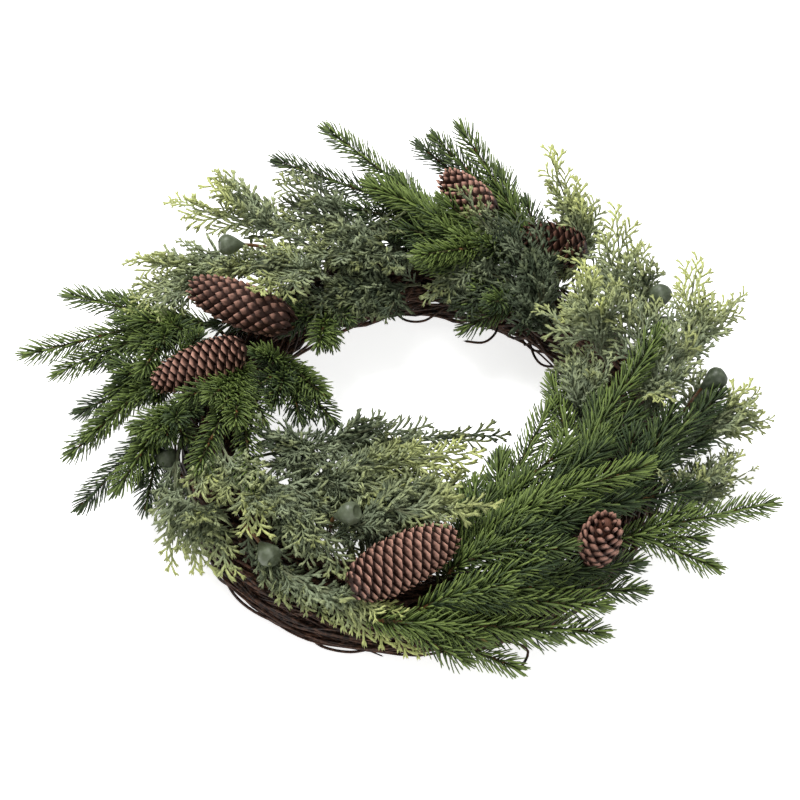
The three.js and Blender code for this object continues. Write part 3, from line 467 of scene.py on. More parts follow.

# Each: foot (degrees round the ring and round the bundle), needle length, how far it rises
# before it turns, and its shoots' tips, the leader's first: degrees round the ring, distance
# from its middle, height and how bright the needles are: painted light and shade, low for
# shoots that lie low or deep among the others.
SPRUCE = {
    "spruce_left_a": ((150, 40), 15.5, 0.18, [
        (171, 318, 60, 0.6), (161, 300, 80, 0.5), (172, 293, 46, 0.6), (169, 269, 44, 0.1),
        (176, 216, 78, 0.6), (163, 253, 76, 0.5), (163, 188, 82, 0.4),
    ]),
    "spruce_left_b": ((162, 35), 15.5, 0.18, [
        (188, 273, 42, 0.5), (178, 270, 36, 0.1), (174, 240, 66, 0.4), (186, 257, 52, 0.6),
        (179, 206, 70, 0.4), (168, 184, 84, 0.4),
    ]),
    "spruce_left_c": ((177, 60), 15.5, 0.18, [
        (199, 242, 52, 0.7), (196, 271, 24, 0.1), (201, 223, 28, 0.0), (192, 209, 72, 0.6),
        (194, 179, 66, 0.4), (187, 168, 76, 0.3),
    ]),
    "spruce_left_d": ((160, 120), 15.5, 0.18, [
        (207, 185, 84, 0.5), (218, 157, 80, 0.5), (199, 145, 92, 0.7), (188, 161, 92, 0.6),
        (186, 184, 88, 0.5),
    ]),
    "spruce_left_e": ((150, 155), 15.5, 0.18, [
        (174, 72, 60, 0.6), (190, 66, 50, 0.4), (163, 105, 36, 0.1), (162, 129, 76, 0.5),
        (178, 132, 70, 0.2), (186, 92, 48, 0.2), (183, 116, 62, 0.3),
    ]),
    "spruce_left_f": ((124, 135), 15.5, 0.18, [
        (137, 95, 50, 0.4), (150, 92, 72, 0.6), (146, 151, 66, 0.3), (155, 186, 64, 0.2),
    ]),
    "spruce_back_a": ((82, 50), 15.5, 0.18, [
        (118, 261, 100, 0.2), (97, 205, 98, 0.2), (99, 158, 84, 0.3), (108, 199, 86, 0.2),
        (99, 192, 106, 0.3), (95, 162, 84, 0.2),
    ]),
    "spruce_back_b": ((66, 95), 15.5, 0.18, [
        (103, 201, 112, 0.4), (108, 262, 120, 0.5), (86, 153, 104, 0.5), (91, 128, 84, 0.4),
        (98, 160, 94, 0.3), (102, 175, 82, 0.3),
    ]),
    "spruce_back_c": ((57, 45), 15.5, 0.18, [
        (88, 251, 110, 0.3), (91, 261, 92, 0.1), (83, 254, 122, 0.5), (91, 182, 50, 0.1),
        (98, 190, 42, 0.1),
    ]),
    "spruce_back_d": ((61, 80), 15.5, 0.18, [
        (86, 176, 112, 0.5), (104, 194, 114, 0.8), (94, 106, 114, 0.8), (72, 138, 110, 0.6),
        (92, 117, 96, 0.6),
    ]),
    "spruce_back_e": ((48, 120), 15.5, 0.18, [
        (93, 136, 80, 0.6), (70, 86, 52, 0.4), (59, 101, 84, 0.4),
    ]),
    "spruce_right_a": ((318, 118), 16, 0.3, [
        (13, 188, 105, 0.5), (15, 104, 66, 0.6), (352, 164, 92, 0.2), (357, 137, 90, 0.3),
    ]),
    "spruce_right_b": ((328, 80), 16, 0.25, [
        (1, 231, 75, 0.1), (352, 205, 90, 0.2), (354, 222, 56, 0.1), (341, 175, 92, 0.1),
        (352, 190, 100, 0.2),
    ]),
    "spruce_right_c": ((290, 138), 16, 0.5, [
        (332, 126, 98, 0.5), (357, 100, 74, 0.5), (337, 152, 92, 0.2), (322, 78, 70, 0.4),
    ]),
    "spruce_right_d": ((284, 118), 16, 0.42, [
        (333, 187, 104, 0.7), (339, 222, 64, 0.1), (326, 188, 84, 0.1), (336, 151, 96, 0.2),
        (320, 176, 76, 0.0),
    ]),
    "spruce_right_e": ((318, 60), 14.5, 0.18, [(341, 277, 60, 0.6), (327, 259, 46, 0.6)]),
    "spruce_front_a": ((276, 105), 16, 0.35, [
        (306, 186, 92, 0.4), (312, 140, 96, 0.6), (319, 168, 90, 0.2), (301, 104, 80, 0.3),
        (300, 82, 66, 0.5),
    ]),
    "spruce_front_b": ((268, 60), 15.5, 0.18, [
        (301, 177, 84, 0.7), (307, 222, 57, 0.6), (316, 226, 46, 0.3), (301, 183, 84, 0.1),
        (313, 196, 60, 0.1), (320, 212, 52, 0.2),
    ]),
    "spruce_front_c": ((257, 48), 15.5, 0.25, [
        (305, 232, 40, 0.6), (289, 224, 25, 0.7), (298, 214, 30, 0.5),
    ]),
}


def bezier(points, count):
    a, b, c, d = (np.array(p) for p in points)
    t = np.linspace(0, 1, LINE_POINTS)[:, None]
    curve = a * (1 - t) ** 3 + 3 * b * t * (1 - t) ** 2 + 3 * c * t**2 * (1 - t) + d * t**3
    return evenly(curve, count)


def foot_in_bundle(foot):
    """Where a stem begins inside the bundle, where it comes out, and the way it points."""
    degrees, around = foot[0], math.radians(foot[1])
    inside = in_bundle(degrees, around, STEM_DEPTH)
    surface = in_bundle(degrees, around, STEM_EXIT)
    return inside, surface, unit(surface - inside)


def leader_line(foot, tip, rise):
    """From the surface of the bundle over to the tip, and the shank inside the bundle."""
    inside, surface, away = foot_in_bundle(foot)
    run = tip - surface
    length = np.linalg.norm(run)
    lean = surface + away * 0.8 * rise * length + 0.16 * run
    fall = surface + 0.64 * run + UP * 0.03 * length
    leader = bezier([surface, lean, fall, tip], LINE_POINTS)
    return leader, evenly(np.concatenate([inside[None], leader[:2]]), STEM_RINGS)


def side_line(leader, share, tip):
    """A shoot that leaves its leader a share of the way along it."""
    at = int(share * (len(leader) - 1))
    start = leader[at]
    run = tip - start
    length = np.linalg.norm(run)
    ahead = unit(leader[at + 1] - leader[at])
    lean = start + ahead * 0.15 * length + 0.16 * run
    fall = start + 0.68 * run + UP * 0.015 * length
    return bezier([start, lean, fall, tip], LINE_POINTS)


def frames(line, face):
    """At each point: the way on, and two directions across it that hardly turn."""
    heading = unit(np.gradient(line, axis=0))
    across = np.empty_like(line)
    last = face
    for i in range(len(line) - 1, -1, -1):
        last = unit(last - heading[i] * (last @ heading[i]))
        across[i] = last
    return heading, np.cross(across, heading), across


def at_share(values, share):
    index = share * (len(values) - 1)
    return np.stack([np.interp(index, range(len(values)), values[:, k]) for k in range(3)], 1)


def ease(low, high, value):
    t = np.clip((value - low) / (high - low), 0, 1)
    return t * t * (3 - 2 * t)


needle_tube = tube(len(NEEDLE_STEPS), 4)
stem_tube = tube(STEM_RINGS, 6)
bud_tube = tube(len(BUD_WIDTHS), 6)


def lay_stem(bunch, line, foot_radius, end_radius, shade, reach=0.0, wood=1.0):
    """A thin closed stem along a line of as many points as it has rings."""
    widths = np.linspace(foot_radius, end_radius, STEM_RINGS)
    bunch.lay_tubes(stem_tube, line[None], widths, UP, shade, reach, wood)


def grow_shoot(bunch, line, needle, tone, draw, stem_radius=STEM_RADIUS):
    """A stem with its bud, and needles in one close spiral round it."""
    length = np.linalg.norm(np.diff(line, axis=0), axis=1).sum()
    heading, side, over = frames(line, UP)
    stem = evenly(line, STEM_RINGS)
    lay_stem(bunch, stem, stem_radius, STEM_END_RADIUS, draw.uniform(0.3, 0.9))
    tip = line[-1] + heading[-1] * np.linspace(*BUD_SPAN, len(BUD_WIDTHS))[:, None]
    bunch.lay_tubes(bud_tube, tip[None], BUD_WIDTHS, UP, tone, 0.0, 0.5)

    leafy = 1 - BARE_FOOT
    count = int(length * leafy * NEEDLES_PER_METRE)
    share = BARE_FOOT + leafy * (np.arange(count) + draw.uniform(0, 0.8, count)) / count
    turn = np.arange(count) * GOLDEN_TURN + draw.normal(0, 0.12, count)
    turn -= PARTING * np.sin(2 * turn)
    start, ahead = at_share(line, share), unit(at_share(heading, share))
    out = np.cos(turn)[:, None] * at_share(side, share)
    out = out + np.sin(turn)[:, None] * at_share(over, share)
    out = unit(out + 0.12 * UP)
    from_tip = (1 - share) * length
    near_tip = 1 - ease(0.0, TIP_ZONE, from_tip)
    lean = NEEDLE_LEAN - 2.2 * (needle - 12) - 5 * share + draw.normal(0, 4, count)
    lean = np.radians(lean) * (1 - 0.6 * near_tip)
    size = needle / 1000 * draw.uniform(*NEEDLE_SIZES, count) * (1 - 0.42 * near_tip)
    size *= 0.75 + 0.25 * ease(0.0, FOOT_ZONE, share * length)
    forth, aside = np.cos(lean)[:, None], np.sin(lean)[:, None]
    bend = draw.uniform(*NEEDLE_BENDS, count)[:, None]
    paths = np.empty((count, len(NEEDLE_STEPS), 3))
    for ring, t in enumerate(NEEDLE_STEPS):
        paths[:, ring] = start + NEEDLE_SEAT * out + size[:, None] * (
            (forth * t + bend * t * t) * ahead + (aside * t - 0.6 * bend * t * t) * out
        )
    paths[..., 2] = np.maximum(paths[..., 2], LOWEST_NEEDLE)
    across = np.cross(ahead, out)[:, None]
    # Needles that point up are painted lighter and those that point down darker, as light falls from
    # above, on top of the shoot's painted light and a random part.
    shades = 1.15 * tone + 0.2 * np.sin(turn) + draw.normal(0, 0.16, count) - 0.06
    shades = np.clip(shades, 0, 1)
    bunch.lay_tubes(needle_tube, paths, NEEDLE_WIDTHS, across, shades, share, 0.0, NEEDLE_FLAT)


def turned(vector, axis, degrees):
    return np.array(Matrix.Rotation(math.radians(degrees), 3, Vector(axis)) @ Vector(vector))


def side_shoots(line, count, span, longest, leans, draw):
    """Short lines that leave a stem within a span of it, to its left or right."""
    heading, _, over = frames(line, UP)
    low, high = span
    for k in range(count):
        share = low + (high - low) * (k + draw.uniform(0.2, 0.8)) / count
        at = int(share * (len(line) - 1))
        hand = 1 if (k + int(draw.integers(2))) % 2 else -1
        lean = turned(heading[at], over[at], hand * draw.uniform(*leans))
        lean = turned(lean, heading[at], draw.uniform(*SIDE_ROLL))
        size = longest * draw.uniform(0.7, 1.0)
        start = line[at]
        bend = start + lean * size * 0.5
        end = start + unit(lean + 0.5 * heading[at]) * size
        end[2] = max(end[2], LOWEST_TWIG_END)
        yield share, bezier([start, start + lean * size * 0.25, bend, end], TWIG_POINTS)


SHADED_FOOT = paint(22, 36, 16)
SHADED_POINT = paint(62, 80, 48)
LIT_FOOT = paint(40, 60, 12)
LIT_POINT = paint(138, 158, 82)
BARK_GREEN = paint(62, 62, 34)
BARK_BROWN = paint(122, 82, 48)
spruce_finish = Finish("spruce_needles", 0.5)
along, shade, _, wood = spruce_finish.growth()
patch = spruce_finish.noise(0.012)
# Needles are painted from shaded to lit green by their shade value, which holds painted light and
# shade with a random part; along each needle its foot is painted darker, as shade.
dark = spruce_finish.mix(along, SHADED_FOOT, SHADED_POINT)
lit_green = spruce_finish.mix(along, LIT_FOOT, LIT_POINT)
green = spruce_finish.mix((shade + patch * 0.5).between(0.0, 1.0), dark, lit_green)
spots = spruce_finish.noise(0.007, 1.0).between(0.06, 0.2)
bark = spruce_finish.mix(spots, BARK_GREEN, BARK_BROWN)
spruce_finish.set(Base_Color=spruce_finish.mix(wood, green, bark))
spruce_finish.set(Roughness=0.5 + wood * 0.25, Specular_IOR_Level=0.28)

for number, (name, (foot, needle, rise, tips)) in enumerate(SPRUCE.items()):
    draw = np.random.default_rng(100 + number)
    sprig = Bunch()
    leader, shank = leader_line(foot, ring_point(*tips[0][:3]), rise)
    lay_stem(sprig, shank, SHANK_RADIUS, SHANK_RADIUS, 0.5)
    leader = evenly(leader, LINE_POINTS, BUD_REACH)
    lines = [leader]
    for share, tip in zip(FORKS, tips[1:]):
        line = side_line(leader, share, ring_point(*tip[:3]))
        lines.append(evenly(line, LINE_POINTS, BUD_REACH))
    for line, tip in zip(lines, tips):
        grow_shoot(sprig, line, needle, tip[3], draw)
    side = (SIDE_SHOOTS, SIDE_SHOOT_SPAN, LONGEST_SIDE_SHOOT, SIDE_SHOOT_LEAN)
    # Side shoots take four fifths of their shoot's painted light.
    for line, tip in zip(lines, tips):
        for _, twig in side_shoots(line, *side, draw):
            grow_shoot(sprig, twig, needle * 0.95, tip[3] * 0.8, draw, TWIG_RADIUS)
    piece = sprig.finish(name.replace("spruce", "spruce_sprig"), spruce_finish, "spruce")
    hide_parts(name)


# ---- Cedar sprays -----------------------------------------------------------------------
# Cut twigs of cedar, pushed between the vines, each with several flat fans. A fan has branchlets
# left and right in turn, edged with small forked scaly fingers: grey-green within, yellower out,
# and painted darker where a spray lies deep, as shade.
FINGER_RADIUS = 0.001
FINGER_WIDTHS = FINGER_RADIUS * np.array([0.85, 1.15, 0.0])
FINGER_LENGTH = 0.0135
FINGER_STEP = 0.0037
FINGER_LEAN = (24, 36)
FORKED_LENGTH = 0.006  # shorter fingers have no fork
SECOND_FORKS = 0.4  # the share of forked ones that fork to both sides
BRANCHLET_WIDTHS = np.array([0.0008, 0.0008, 0.0007, 0.0006, 0.0])
BRANCHLET_SIZES = (0.016, 0.025, 0.036)
BRANCHLETS_EACH = 4
BRANCHLET_STEP = 0.0088
BRANCHLET_LEAN = (22, 34)
RAISED_SHARE = 0.34  # of the branchlets have another that stands up off the fan
RAISED_LEAN = (18, 36)
RAISED_ROLL = (-60, 60)
FAN_TWIG_RADIUS = 0.0013
FAN_TWIG_END_RADIUS = 0.0006
CEDAR_SHANK_RADIUS = 0.0015
CEDAR_FORK = 0.25  # where the other fans leave the first one
SIDE_FANS = 3  # on each fan
SIDE_FAN_END = 0.6  # none past this share of it
SIDE_FAN_LEAN = (16, 34)
END_REACH = 0.013  # how far the last branchlet reaches past the end of its twig
LOWEST_BRANCHLET = 0.0008

# Each: foot, longest branchlet, rise, how yellow its ends are, how dark it is within, as
# painted shade, and the tips of its fans: degrees, distance, height.
CEDAR = {
    "cedar_back_a": ((114, 30), 28, 0.18, 0.8, 0.3, [(138, 273, 97), (132, 248, 112)]),
    "cedar_back_b": ((129, 46), 26, 0.18, 0.7, 0.3, [
        (150, 272, 76), (153, 268, 54), (160, 246, 72), (139, 190, 80),
    ]),
    "cedar_back_c": ((103, 60), 26, 0.18, 0.4, 0.55, [
        (120, 223, 112), (122, 204, 92), (104, 168, 80),
    ]),
    "cedar_back_d": ((92, 95), 28, 0.18, 0.4, 0.6, [
        (126, 188, 88), (129, 164, 84), (111, 137, 84), (108, 158, 78), (101, 128, 84),
    ]),
    "cedar_back_e": ((90, 135), 26, 0.18, 0.3, 0.8, [
        (123, 132, 68), (112, 128, 54), (121, 116, 70), (104, 109, 60), (131, 140, 66),
        (112, 112, 60),
    ]),
    "cedar_back_f": ((118, 95), 22, 0.18, 0.7, 0.45, [
        (153, 147, 117), (134, 182, 84), (131, 165, 92), (140, 205, 78),
    ]),
    "cedar_back_g": ((58, 100), 20, 0.18, 0.4, 0.6, [
        (79, 155, 142), (86, 108, 78), (88, 98, 72),
    ]),
    "cedar_back_h": ((44, 110), 24, 0.18, 0.1, 0.8, [
        (67, 157, 120), (81, 106, 66), (50, 165, 92),
    ]),
    "cedar_back_i": ((34, 140), 28, 0.18, 0.1, 0.8, [
        (58, 130, 96), (46, 118, 80), (52, 138, 112),
    ]),
    "cedar_right_a": ((44, 40), 24, 0.18, 0.8, 0.3, [
        (62, 218, 145), (55, 216, 128), (49, 168, 92), (48, 184, 58), (51, 205, 114),
    ]),
    "cedar_right_b": ((27, 65), 24, 0.18, 0.8, 0.2, [(42, 206, 132), (40, 198, 70)]),
    "cedar_right_c": ((14, 110), 24, 0.18, 0.8, 0.3, [
        (30, 143, 140), (20, 144, 122), (28, 136, 112), (30, 124, 92),
    ]),
    "cedar_right_d": ((24, 30), 24, 0.18, 0.6, 0.4, [(34, 200, 120)]),
    "cedar_right_e": ((8, 30), 26, 0.18, 0.9, 0.3, [(27, 245, 104), (19, 250, 88)]),
    "cedar_right_f": ((352, 25), 24, 0.18, 0.7, 0.4, [
        (2, 249, 72), (358, 255, 56), (5, 212, 58),
    ]),
    "cedar_right_g": ((337, 5), 19, 0.18, 0.6, 0.5, [
        (351, 246, 50), (349, 240, 34), (338, 191, 74), (344, 215, 62),
    ]),
    "cedar_right_h": ((354, 85), 24, 0.18, 0.5, 0.4, [
        (8, 204, 112), (21, 194, 104), (20, 160, 120),
    ]),
    "cedar_right_i": ((346, 150), 22, 0.18, 0.4, 0.5, [
        (21, 125, 82), (18, 133, 76), (2, 126, 96), (10, 128, 70),
    ]),
    "cedar_right_j": ((6, 75), 18, 0.18, 0.7, 0.5, [(348, 178, 114)]),
    "cedar_left_a": ((186, 60), 24, 0.18, 0.6, 0.5, [(214, 222, 28), (220, 213, 42)]),
    "cedar_left_b": ((186, 92), 28, 0.18, 0.7, 0.3, [(229, 174, 84), (208, 172, 78)]),
    "cedar_left_c": ((202, 128), 28, 0.18, 0.4, 0.5, [
        (241, 155, 78), (251, 168, 68), (222, 154, 80), (236, 108, 48), (230, 114, 60),
    ]),
    "cedar_left_d": ((200, 48), 22, 0.18, 0.6, 0.5, [(227, 195, 44), (213, 190, 66)]),
    "cedar_front_a": ((234, 65), 20, 0.18, 1.0, 0.4, [(270, 206, 40), (266, 188, 62)]),
    "cedar_front_b": ((222, 75), 18, 0.18, 0.5, 0.6, [(245, 194, 45), (253, 198, 46)]),
    "cedar_front_c": ((194, 155), 28, 0.18, 0.3, 0.6, [
        (338, 64, 54), (225, 46, 62), (209, 110, 54), (206, 100, 58), (200, 116, 60),
    ]),
    "cedar_front_d": ((214, 145), 30, 0.3, 0.8, 0.5, [
        (304, 68, 76), (259, 105, 80), (246, 58, 56), (261, 107, 66), (248, 117, 42),
        (257, 118, 54), (288, 66, 58),
    ]),
    "cedar_front_e": ((240, 125), 26, 0.4, 0.6, 0.55, [
        (291, 131, 102), (285, 90, 74), (277, 105, 70), (272, 130, 74), (277, 138, 44),
        (302, 80, 60), (280, 131, 32), (252, 124, 34),
    ]),
}

# The share of a twig that is bare at its foot, and the longest side fan, where they differ.
BARE_SHARE = 0.08
BARE_FEET = {"cedar_left_a": 0.3, "cedar_left_b": 0.42, "cedar_left_c": 0.3, "cedar_left_d": 0.2}
LONGEST_SIDE_FAN = 0.042
SIDE_FAN_LENGTHS = {
    "cedar_left_a": 0.02, "cedar_left_d": 0.026, "cedar_front_a": 0.022, "cedar_front_b": 0.02,
    "cedar_right_a": 0.03, "cedar_right_b": 0.03, "cedar_back_g": 0.028, "cedar_back_i": 0.03,
}
finger_tube = tube(len(FINGER_WIDTHS), 3)
twig_tube = tube(len(BRANCHLET_WIDTHS), 4)


def cedar_branchlet(length, draw):
    """A branchlet along +X in the XY plane: its twig, fingers and their forks."""
    bunch = Bunch()
    curve = draw.normal(0, 0.06)

    def on_twig(share):
        return np.array([share * length, curve * length * share * share, 0.0])

    twig = np.array([on_twig(s) for s in np.linspace(0, 1, len(BRANCHLET_WIDTHS))])
    bunch.lay_tubes(twig_tube, twig[None], BRANCHLET_WIDTHS, UP, 0.5, 0.0)

    def finger(start, degrees, size, reach):
        tilt = draw.normal(0, 0.16)
        way = np.array([math.cos(math.radians(degrees)), math.sin(math.radians(degrees)), tilt])
        bow = np.array([0.16, 0.0, 0.0]) * size
        path = np.array([start, start + way * size * 0.55 + bow * 0.2, start + way * size + bow])
        bunch.lay_tubes(finger_tube, path[None], FINGER_WIDTHS, UP, 0.5, reach)
        return path[1]

    steps = int(length / FINGER_STEP)
    for k in range(steps):
        share = 0.1 + 0.86 * (k + 0.5) / steps
        hand = 1 if k % 2 else -1
        fullness = math.sin(math.pi * (0.26 + 0.56 * share))
        size = FINGER_LENGTH * fullness * draw.uniform(0.8, 1.15)
        size = min(size, length * 0.55)
        angle = hand * draw.uniform(*FINGER_LEAN)
        fork = finger(on_twig(share), angle, size, share)
        if size > FORKED_LENGTH:
            finger(fork, angle + hand * draw.uniform(20, 32), size * 0.52, share + 0.1)
            if draw.uniform() < SECOND_FORKS:
                finger(fork, angle - hand * draw.uniform(20, 30), size * 0.46, share + 0.1)
    tints = np.concatenate(bunch.tints)
    shape = Shape(bunch.bm)
    tints[:, 0] = np.clip(shape.corners[:, 0] / length, 0, 1)
    return shape, tints


draw = np.random.default_rng(41)
branchlets = [
    [cedar_branchlet(size, draw) for _ in range(BRANCHLETS_EACH)] for size in BRANCHLET_SIZES
]


def lay_branchlet(bunch, start, heading, normal, size, shade, reach, draw):
    """A copy of the branchlet nearest in size, bent a little up or down."""
    kind = int(np.argmin([abs(math.log(size / s)) for s in BRANCHLET_SIZES]))
    shape, tints = branchlets[kind][int(draw.integers(BRANCHLETS_EACH))]
    scale = size / BRANCHLET_SIZES[kind]
    local = shape.corners * scale
    share = local[:, 0] / size
    local[:, 2] += size * share * share * draw.normal(-0.04, 0.12)
    heading = unit(heading)
    normal = unit(normal - heading * (normal @ heading))
    corners = start + local @ np.stack([heading, np.cross(normal, heading), normal])
    corners[:, 2] = np.maximum(corners[:, 2], LOWEST_BRANCHLET)
    tints = tints.copy()
    tints[:, 1] = np.clip(shade + draw.normal(0, 0.16), 0, 1)
    tints[:, 2] = reach
    bunch.lay(shape, corners[None], tints)


def grow_fan(bunch, line, longest, shade, low, high, draw, bare=BARE_SHARE):
    """A twig with branchlets on both sides, and some that stand up off the fan."""
    length = np.linalg.norm(np.diff(line, axis=0), axis=1).sum()
    run = line[-1] - line[0]
    face = unit(np.cross(np.cross(run, UP), run))
    heading, side, over = frames(line, face)
    stem = evenly(line, STEM_RINGS)
    lay_stem(bunch, stem, FAN_TWIG_RADIUS, FAN_TWIG_END_RADIUS, shade, low, 0.6)
    steps = max(3, int(length * (1 - bare) / BRANCHLET_STEP))
    for k in range(steps + 1):
        share = bare + (1 - bare) * k / steps
        at = int(share * (len(line) - 1))
        hand = 1 if k % 2 else -1
        fullness = math.sin(math.pi * (0.3 + 0.52 * share))
        size = 1.15 * longest * fullness * draw.uniform(0.8, 1.12)
        lean = 0 if k == steps else hand * draw.uniform(*BRANCHLET_LEAN) * (1 - 0.25 * share)
        way = turned(heading[at], over[at], lean)
        way = turned(way, heading[at], draw.normal(0, 14))
        normal = turned(over[at], heading[at], draw.normal(0, 16))
        reach = low + (high - low) * share
        lay_branchlet(bunch, line[at], way, normal, size, shade, reach, draw)
        if draw.uniform() < RAISED_SHARE and k < steps:
            way = turned(heading[at], side[at], -draw.uniform(*RAISED_LEAN))
            way = turned(way, heading[at], draw.uniform(*RAISED_ROLL))
            normal = turned(side[at], heading[at], draw.uniform(*RAISED_ROLL))
            # A raised branchlet is painted a little lighter, as light on it.
            lay_branchlet(bunch, line[at], way, normal, size * 0.8, shade - 0.12, reach, draw)


GREY_GREEN = paint(146, 157, 126)
GREEN_IN_SHADE = paint(64, 75, 55)
YELLOW_GREEN = paint(200, 207, 132)
TWIG_BROWN = paint(96, 88, 58)
cedar_finish = Finish("cedar_scales", 0.62)
along, shade, reach, wood = cedar_finish.growth()
patch = cedar_finish.noise(0.02)
# Sprays and branchlets set dark are painted shade, mixed towards the darker green, under random
# patches; raised branchlets are painted lighter.
depth = (shade + patch * 0.4).between(0.1, 0.9)
young = (reach * 0.9 + along * 0.45 + patch * 0.35).between(0.42, 1.2)
inner = cedar_finish.mix(depth, GREY_GREEN, GREEN_IN_SHADE)
green = cedar_finish.mix(young, inner, YELLOW_GREEN)
cedar_finish.set(Base_Color=cedar_finish.mix(wood * 0.6, green, TWIG_BROWN))
cedar_finish.set(Specular_IOR_Level=0.25)
cedar_finish.bump(cedar_finish.noise(0.0011, 2.0), 0.0006)

for number, (name, (foot, longest, rise, lime, dim, tips)) in enumerate(CEDAR.items()):
    draw = np.random.default_rng(200 + number)
    spray = Bunch()
    leader, shank = leader_line(foot, ring_point(*tips[0]), rise)
    lay_stem(spray, shank, CEDAR_SHANK_RADIUS, CEDAR_SHANK_RADIUS, 0.5)
    lines = [leader] + [side_line(leader, CEDAR_FORK, ring_point(*tip)) for tip in tips[1:]]
    bare = BARE_FEET.get(name, BARE_SHARE)
    side_length = SIDE_FAN_LENGTHS.get(name, LONGEST_SIDE_FAN)
    side = (SIDE_FANS, (bare, SIDE_FAN_END), side_length, SIDE_FAN_LEAN)
    for line in lines:
        line = evenly(line, LINE_POINTS, END_REACH)
        grow_fan(spray, line, longest / 1000, dim, 0.0, lime, draw, bare)
        for share, twig in side_shoots(line, *side, draw):
            low, high = lime * share * 0.6, lime * (0.35 + 0.6 * share)
            grow_fan(spray, twig, longest * 0.0007, dim, low, high, draw)
    piece = spray.finish(name.replace("cedar", "cedar_spray"), cedar_finish, "cedar")
    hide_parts(name)


# ---- Cones ------------------------------------------------------------------------------
# Spruce cones, dried and half open, each on a short stalk pushed between the vines: woody
# scales in close spirals round a spindle, pinkish where they face out, with painted shade in
# the gaps between them and along their edges.
CONE_PROFILE = np.array([  # share of the length, share of the radius
    (0, 0.5), (0.1, 0.82), (0.32, 1), (0.6, 0.95), (0.82, 0.77), (0.95, 0.5), (1, 0.25),
])
CONE_STALK_RADIUS = 0.0022
CONE_STALK_DEPTH = 0.006  # inside the cone
SPINDLE_RINGS = 10
SPINDLE_LENGTH = 0.97  # of the cone's
SPINDLE_SHARE = 0.62  # of the cone's radius
SCALE_SEAT = 0.9  # where the lips lie, as a share of the cone's radius
SCALE_HALF = 1.15  # half a scale's length, in rows
SCALE_COVER = 1.12  # how far scales reach over their neighbours
SCALE_LEAST = 0.0052  # the shortest scale, half its length
SCALE_DEPTH = 0.0062
TIP_CROWDING = 0.92  # below 1 the scales stand closer at the tip

# Each: foot, base, tip, radius, scales (rows along it, and in one turn round it), how far they
# stand open in degrees, how thick they are, how pale, and how broad.
CONES = {
    "cone_left_upper": ((140, 95), (147, 124, 80), (151, 208, 86), 18, (15, 11), 18, 1.4, 0.6, 1.15),
    "cone_left_lower": ((167, 115), (165, 141, 86), (177, 205, 72), 17.5, (20, 8), 55, 0.4, 0.9, 1.2),
    "cone_front": ((250, 95), (254, 178, 70), (280, 139, 88), 21, (24, 8), 50, 0.36, 0.95, 1.25),
    "cone_right": ((308, 60), (311, 186, 64), (312, 191, 112), 14.5, (9, 8), 10, 1.3, 0.6, 1.15),
    "cone_back_left": ((76, 75), (72, 184, 92), (85, 196, 116), 15, (10, 10), 16, 1.2, 0.95, 1.15),
    "cone_back_right": ((50, 70), (47, 192, 84), (61, 166, 98), 18, (13, 9), 50, 0.45, 0.15, 1.1),
}


def cone_scale():
    """A woody scale along +X, its face up +Z: narrow at the foot, thick and angular at the lip."""
    bm = bmesh.new()
    bmesh.ops.create_uvsphere(bm, u_segments=10, v_segments=7, radius=1.0)
    bmesh.ops.rotate(bm, verts=bm.verts[:], matrix=Matrix.Rotation(math.pi / 2, 3, "Y"))
    for corner in bm.verts:
        x = corner.co.x
        corner.co.y *= 0.3 + 0.7 * ease(-1.0, 0.35, x)
        corner.co.z *= 0.16 + 0.12 * ease(-0.2, 0.9, x)
        corner.co.z += 0.16 * (x + 1) ** 2 * 0.25
        if x > 0:
            corner.co.y *= math.sqrt((1 - min(x, 1)) / (1 + x))
    bmesh.ops.recalc_face_normals(bm, faces=bm.faces[:])
    return Shape(bm)


scale_shape = cone_scale()
spindle_tube = tube(SPINDLE_RINGS, 12)


def stalk_line(foot, end, heading):
    """From inside the bundle to what it carries, which it meets along its heading."""
    inside, surface, away = foot_in_bundle(foot)
    length = np.linalg.norm(end - surface)
    line = bezier([surface, surface + away * 0.4 * length, end - heading * 0.4 * length, end], 30)
    return evenly(np.concatenate([inside[None], line]), STEM_RINGS)


SCALE_BROWN = paint(98, 62, 48)
SCALE_PINK = paint(192, 146, 128)
GAP_SHADE_BROWN = paint(44, 22, 13)
cone_finish = Finish("cone_scales", 0.68)
along, shade, reach, _ = cone_finish.growth()
grain = cone_finish.noise(0.0025, 4.0)
face = cone_finish.mix(shade, SCALE_BROWN, SCALE_PINK)
# The feet and edges of the scales are painted dark, as shade in the gaps between them.
edge_shade = (reach + grain * 0.3).between(0.3, 0.8) * 0.4
lip = (along - edge_shade + grain * 0.35).between(0.5, 0.98)
cone_finish.set(Base_Color=cone_finish.mix(lip, GAP_SHADE_BROWN, face), Specular_IOR_Level=0.3)
cone_finish.bump(grain, 0.0008)

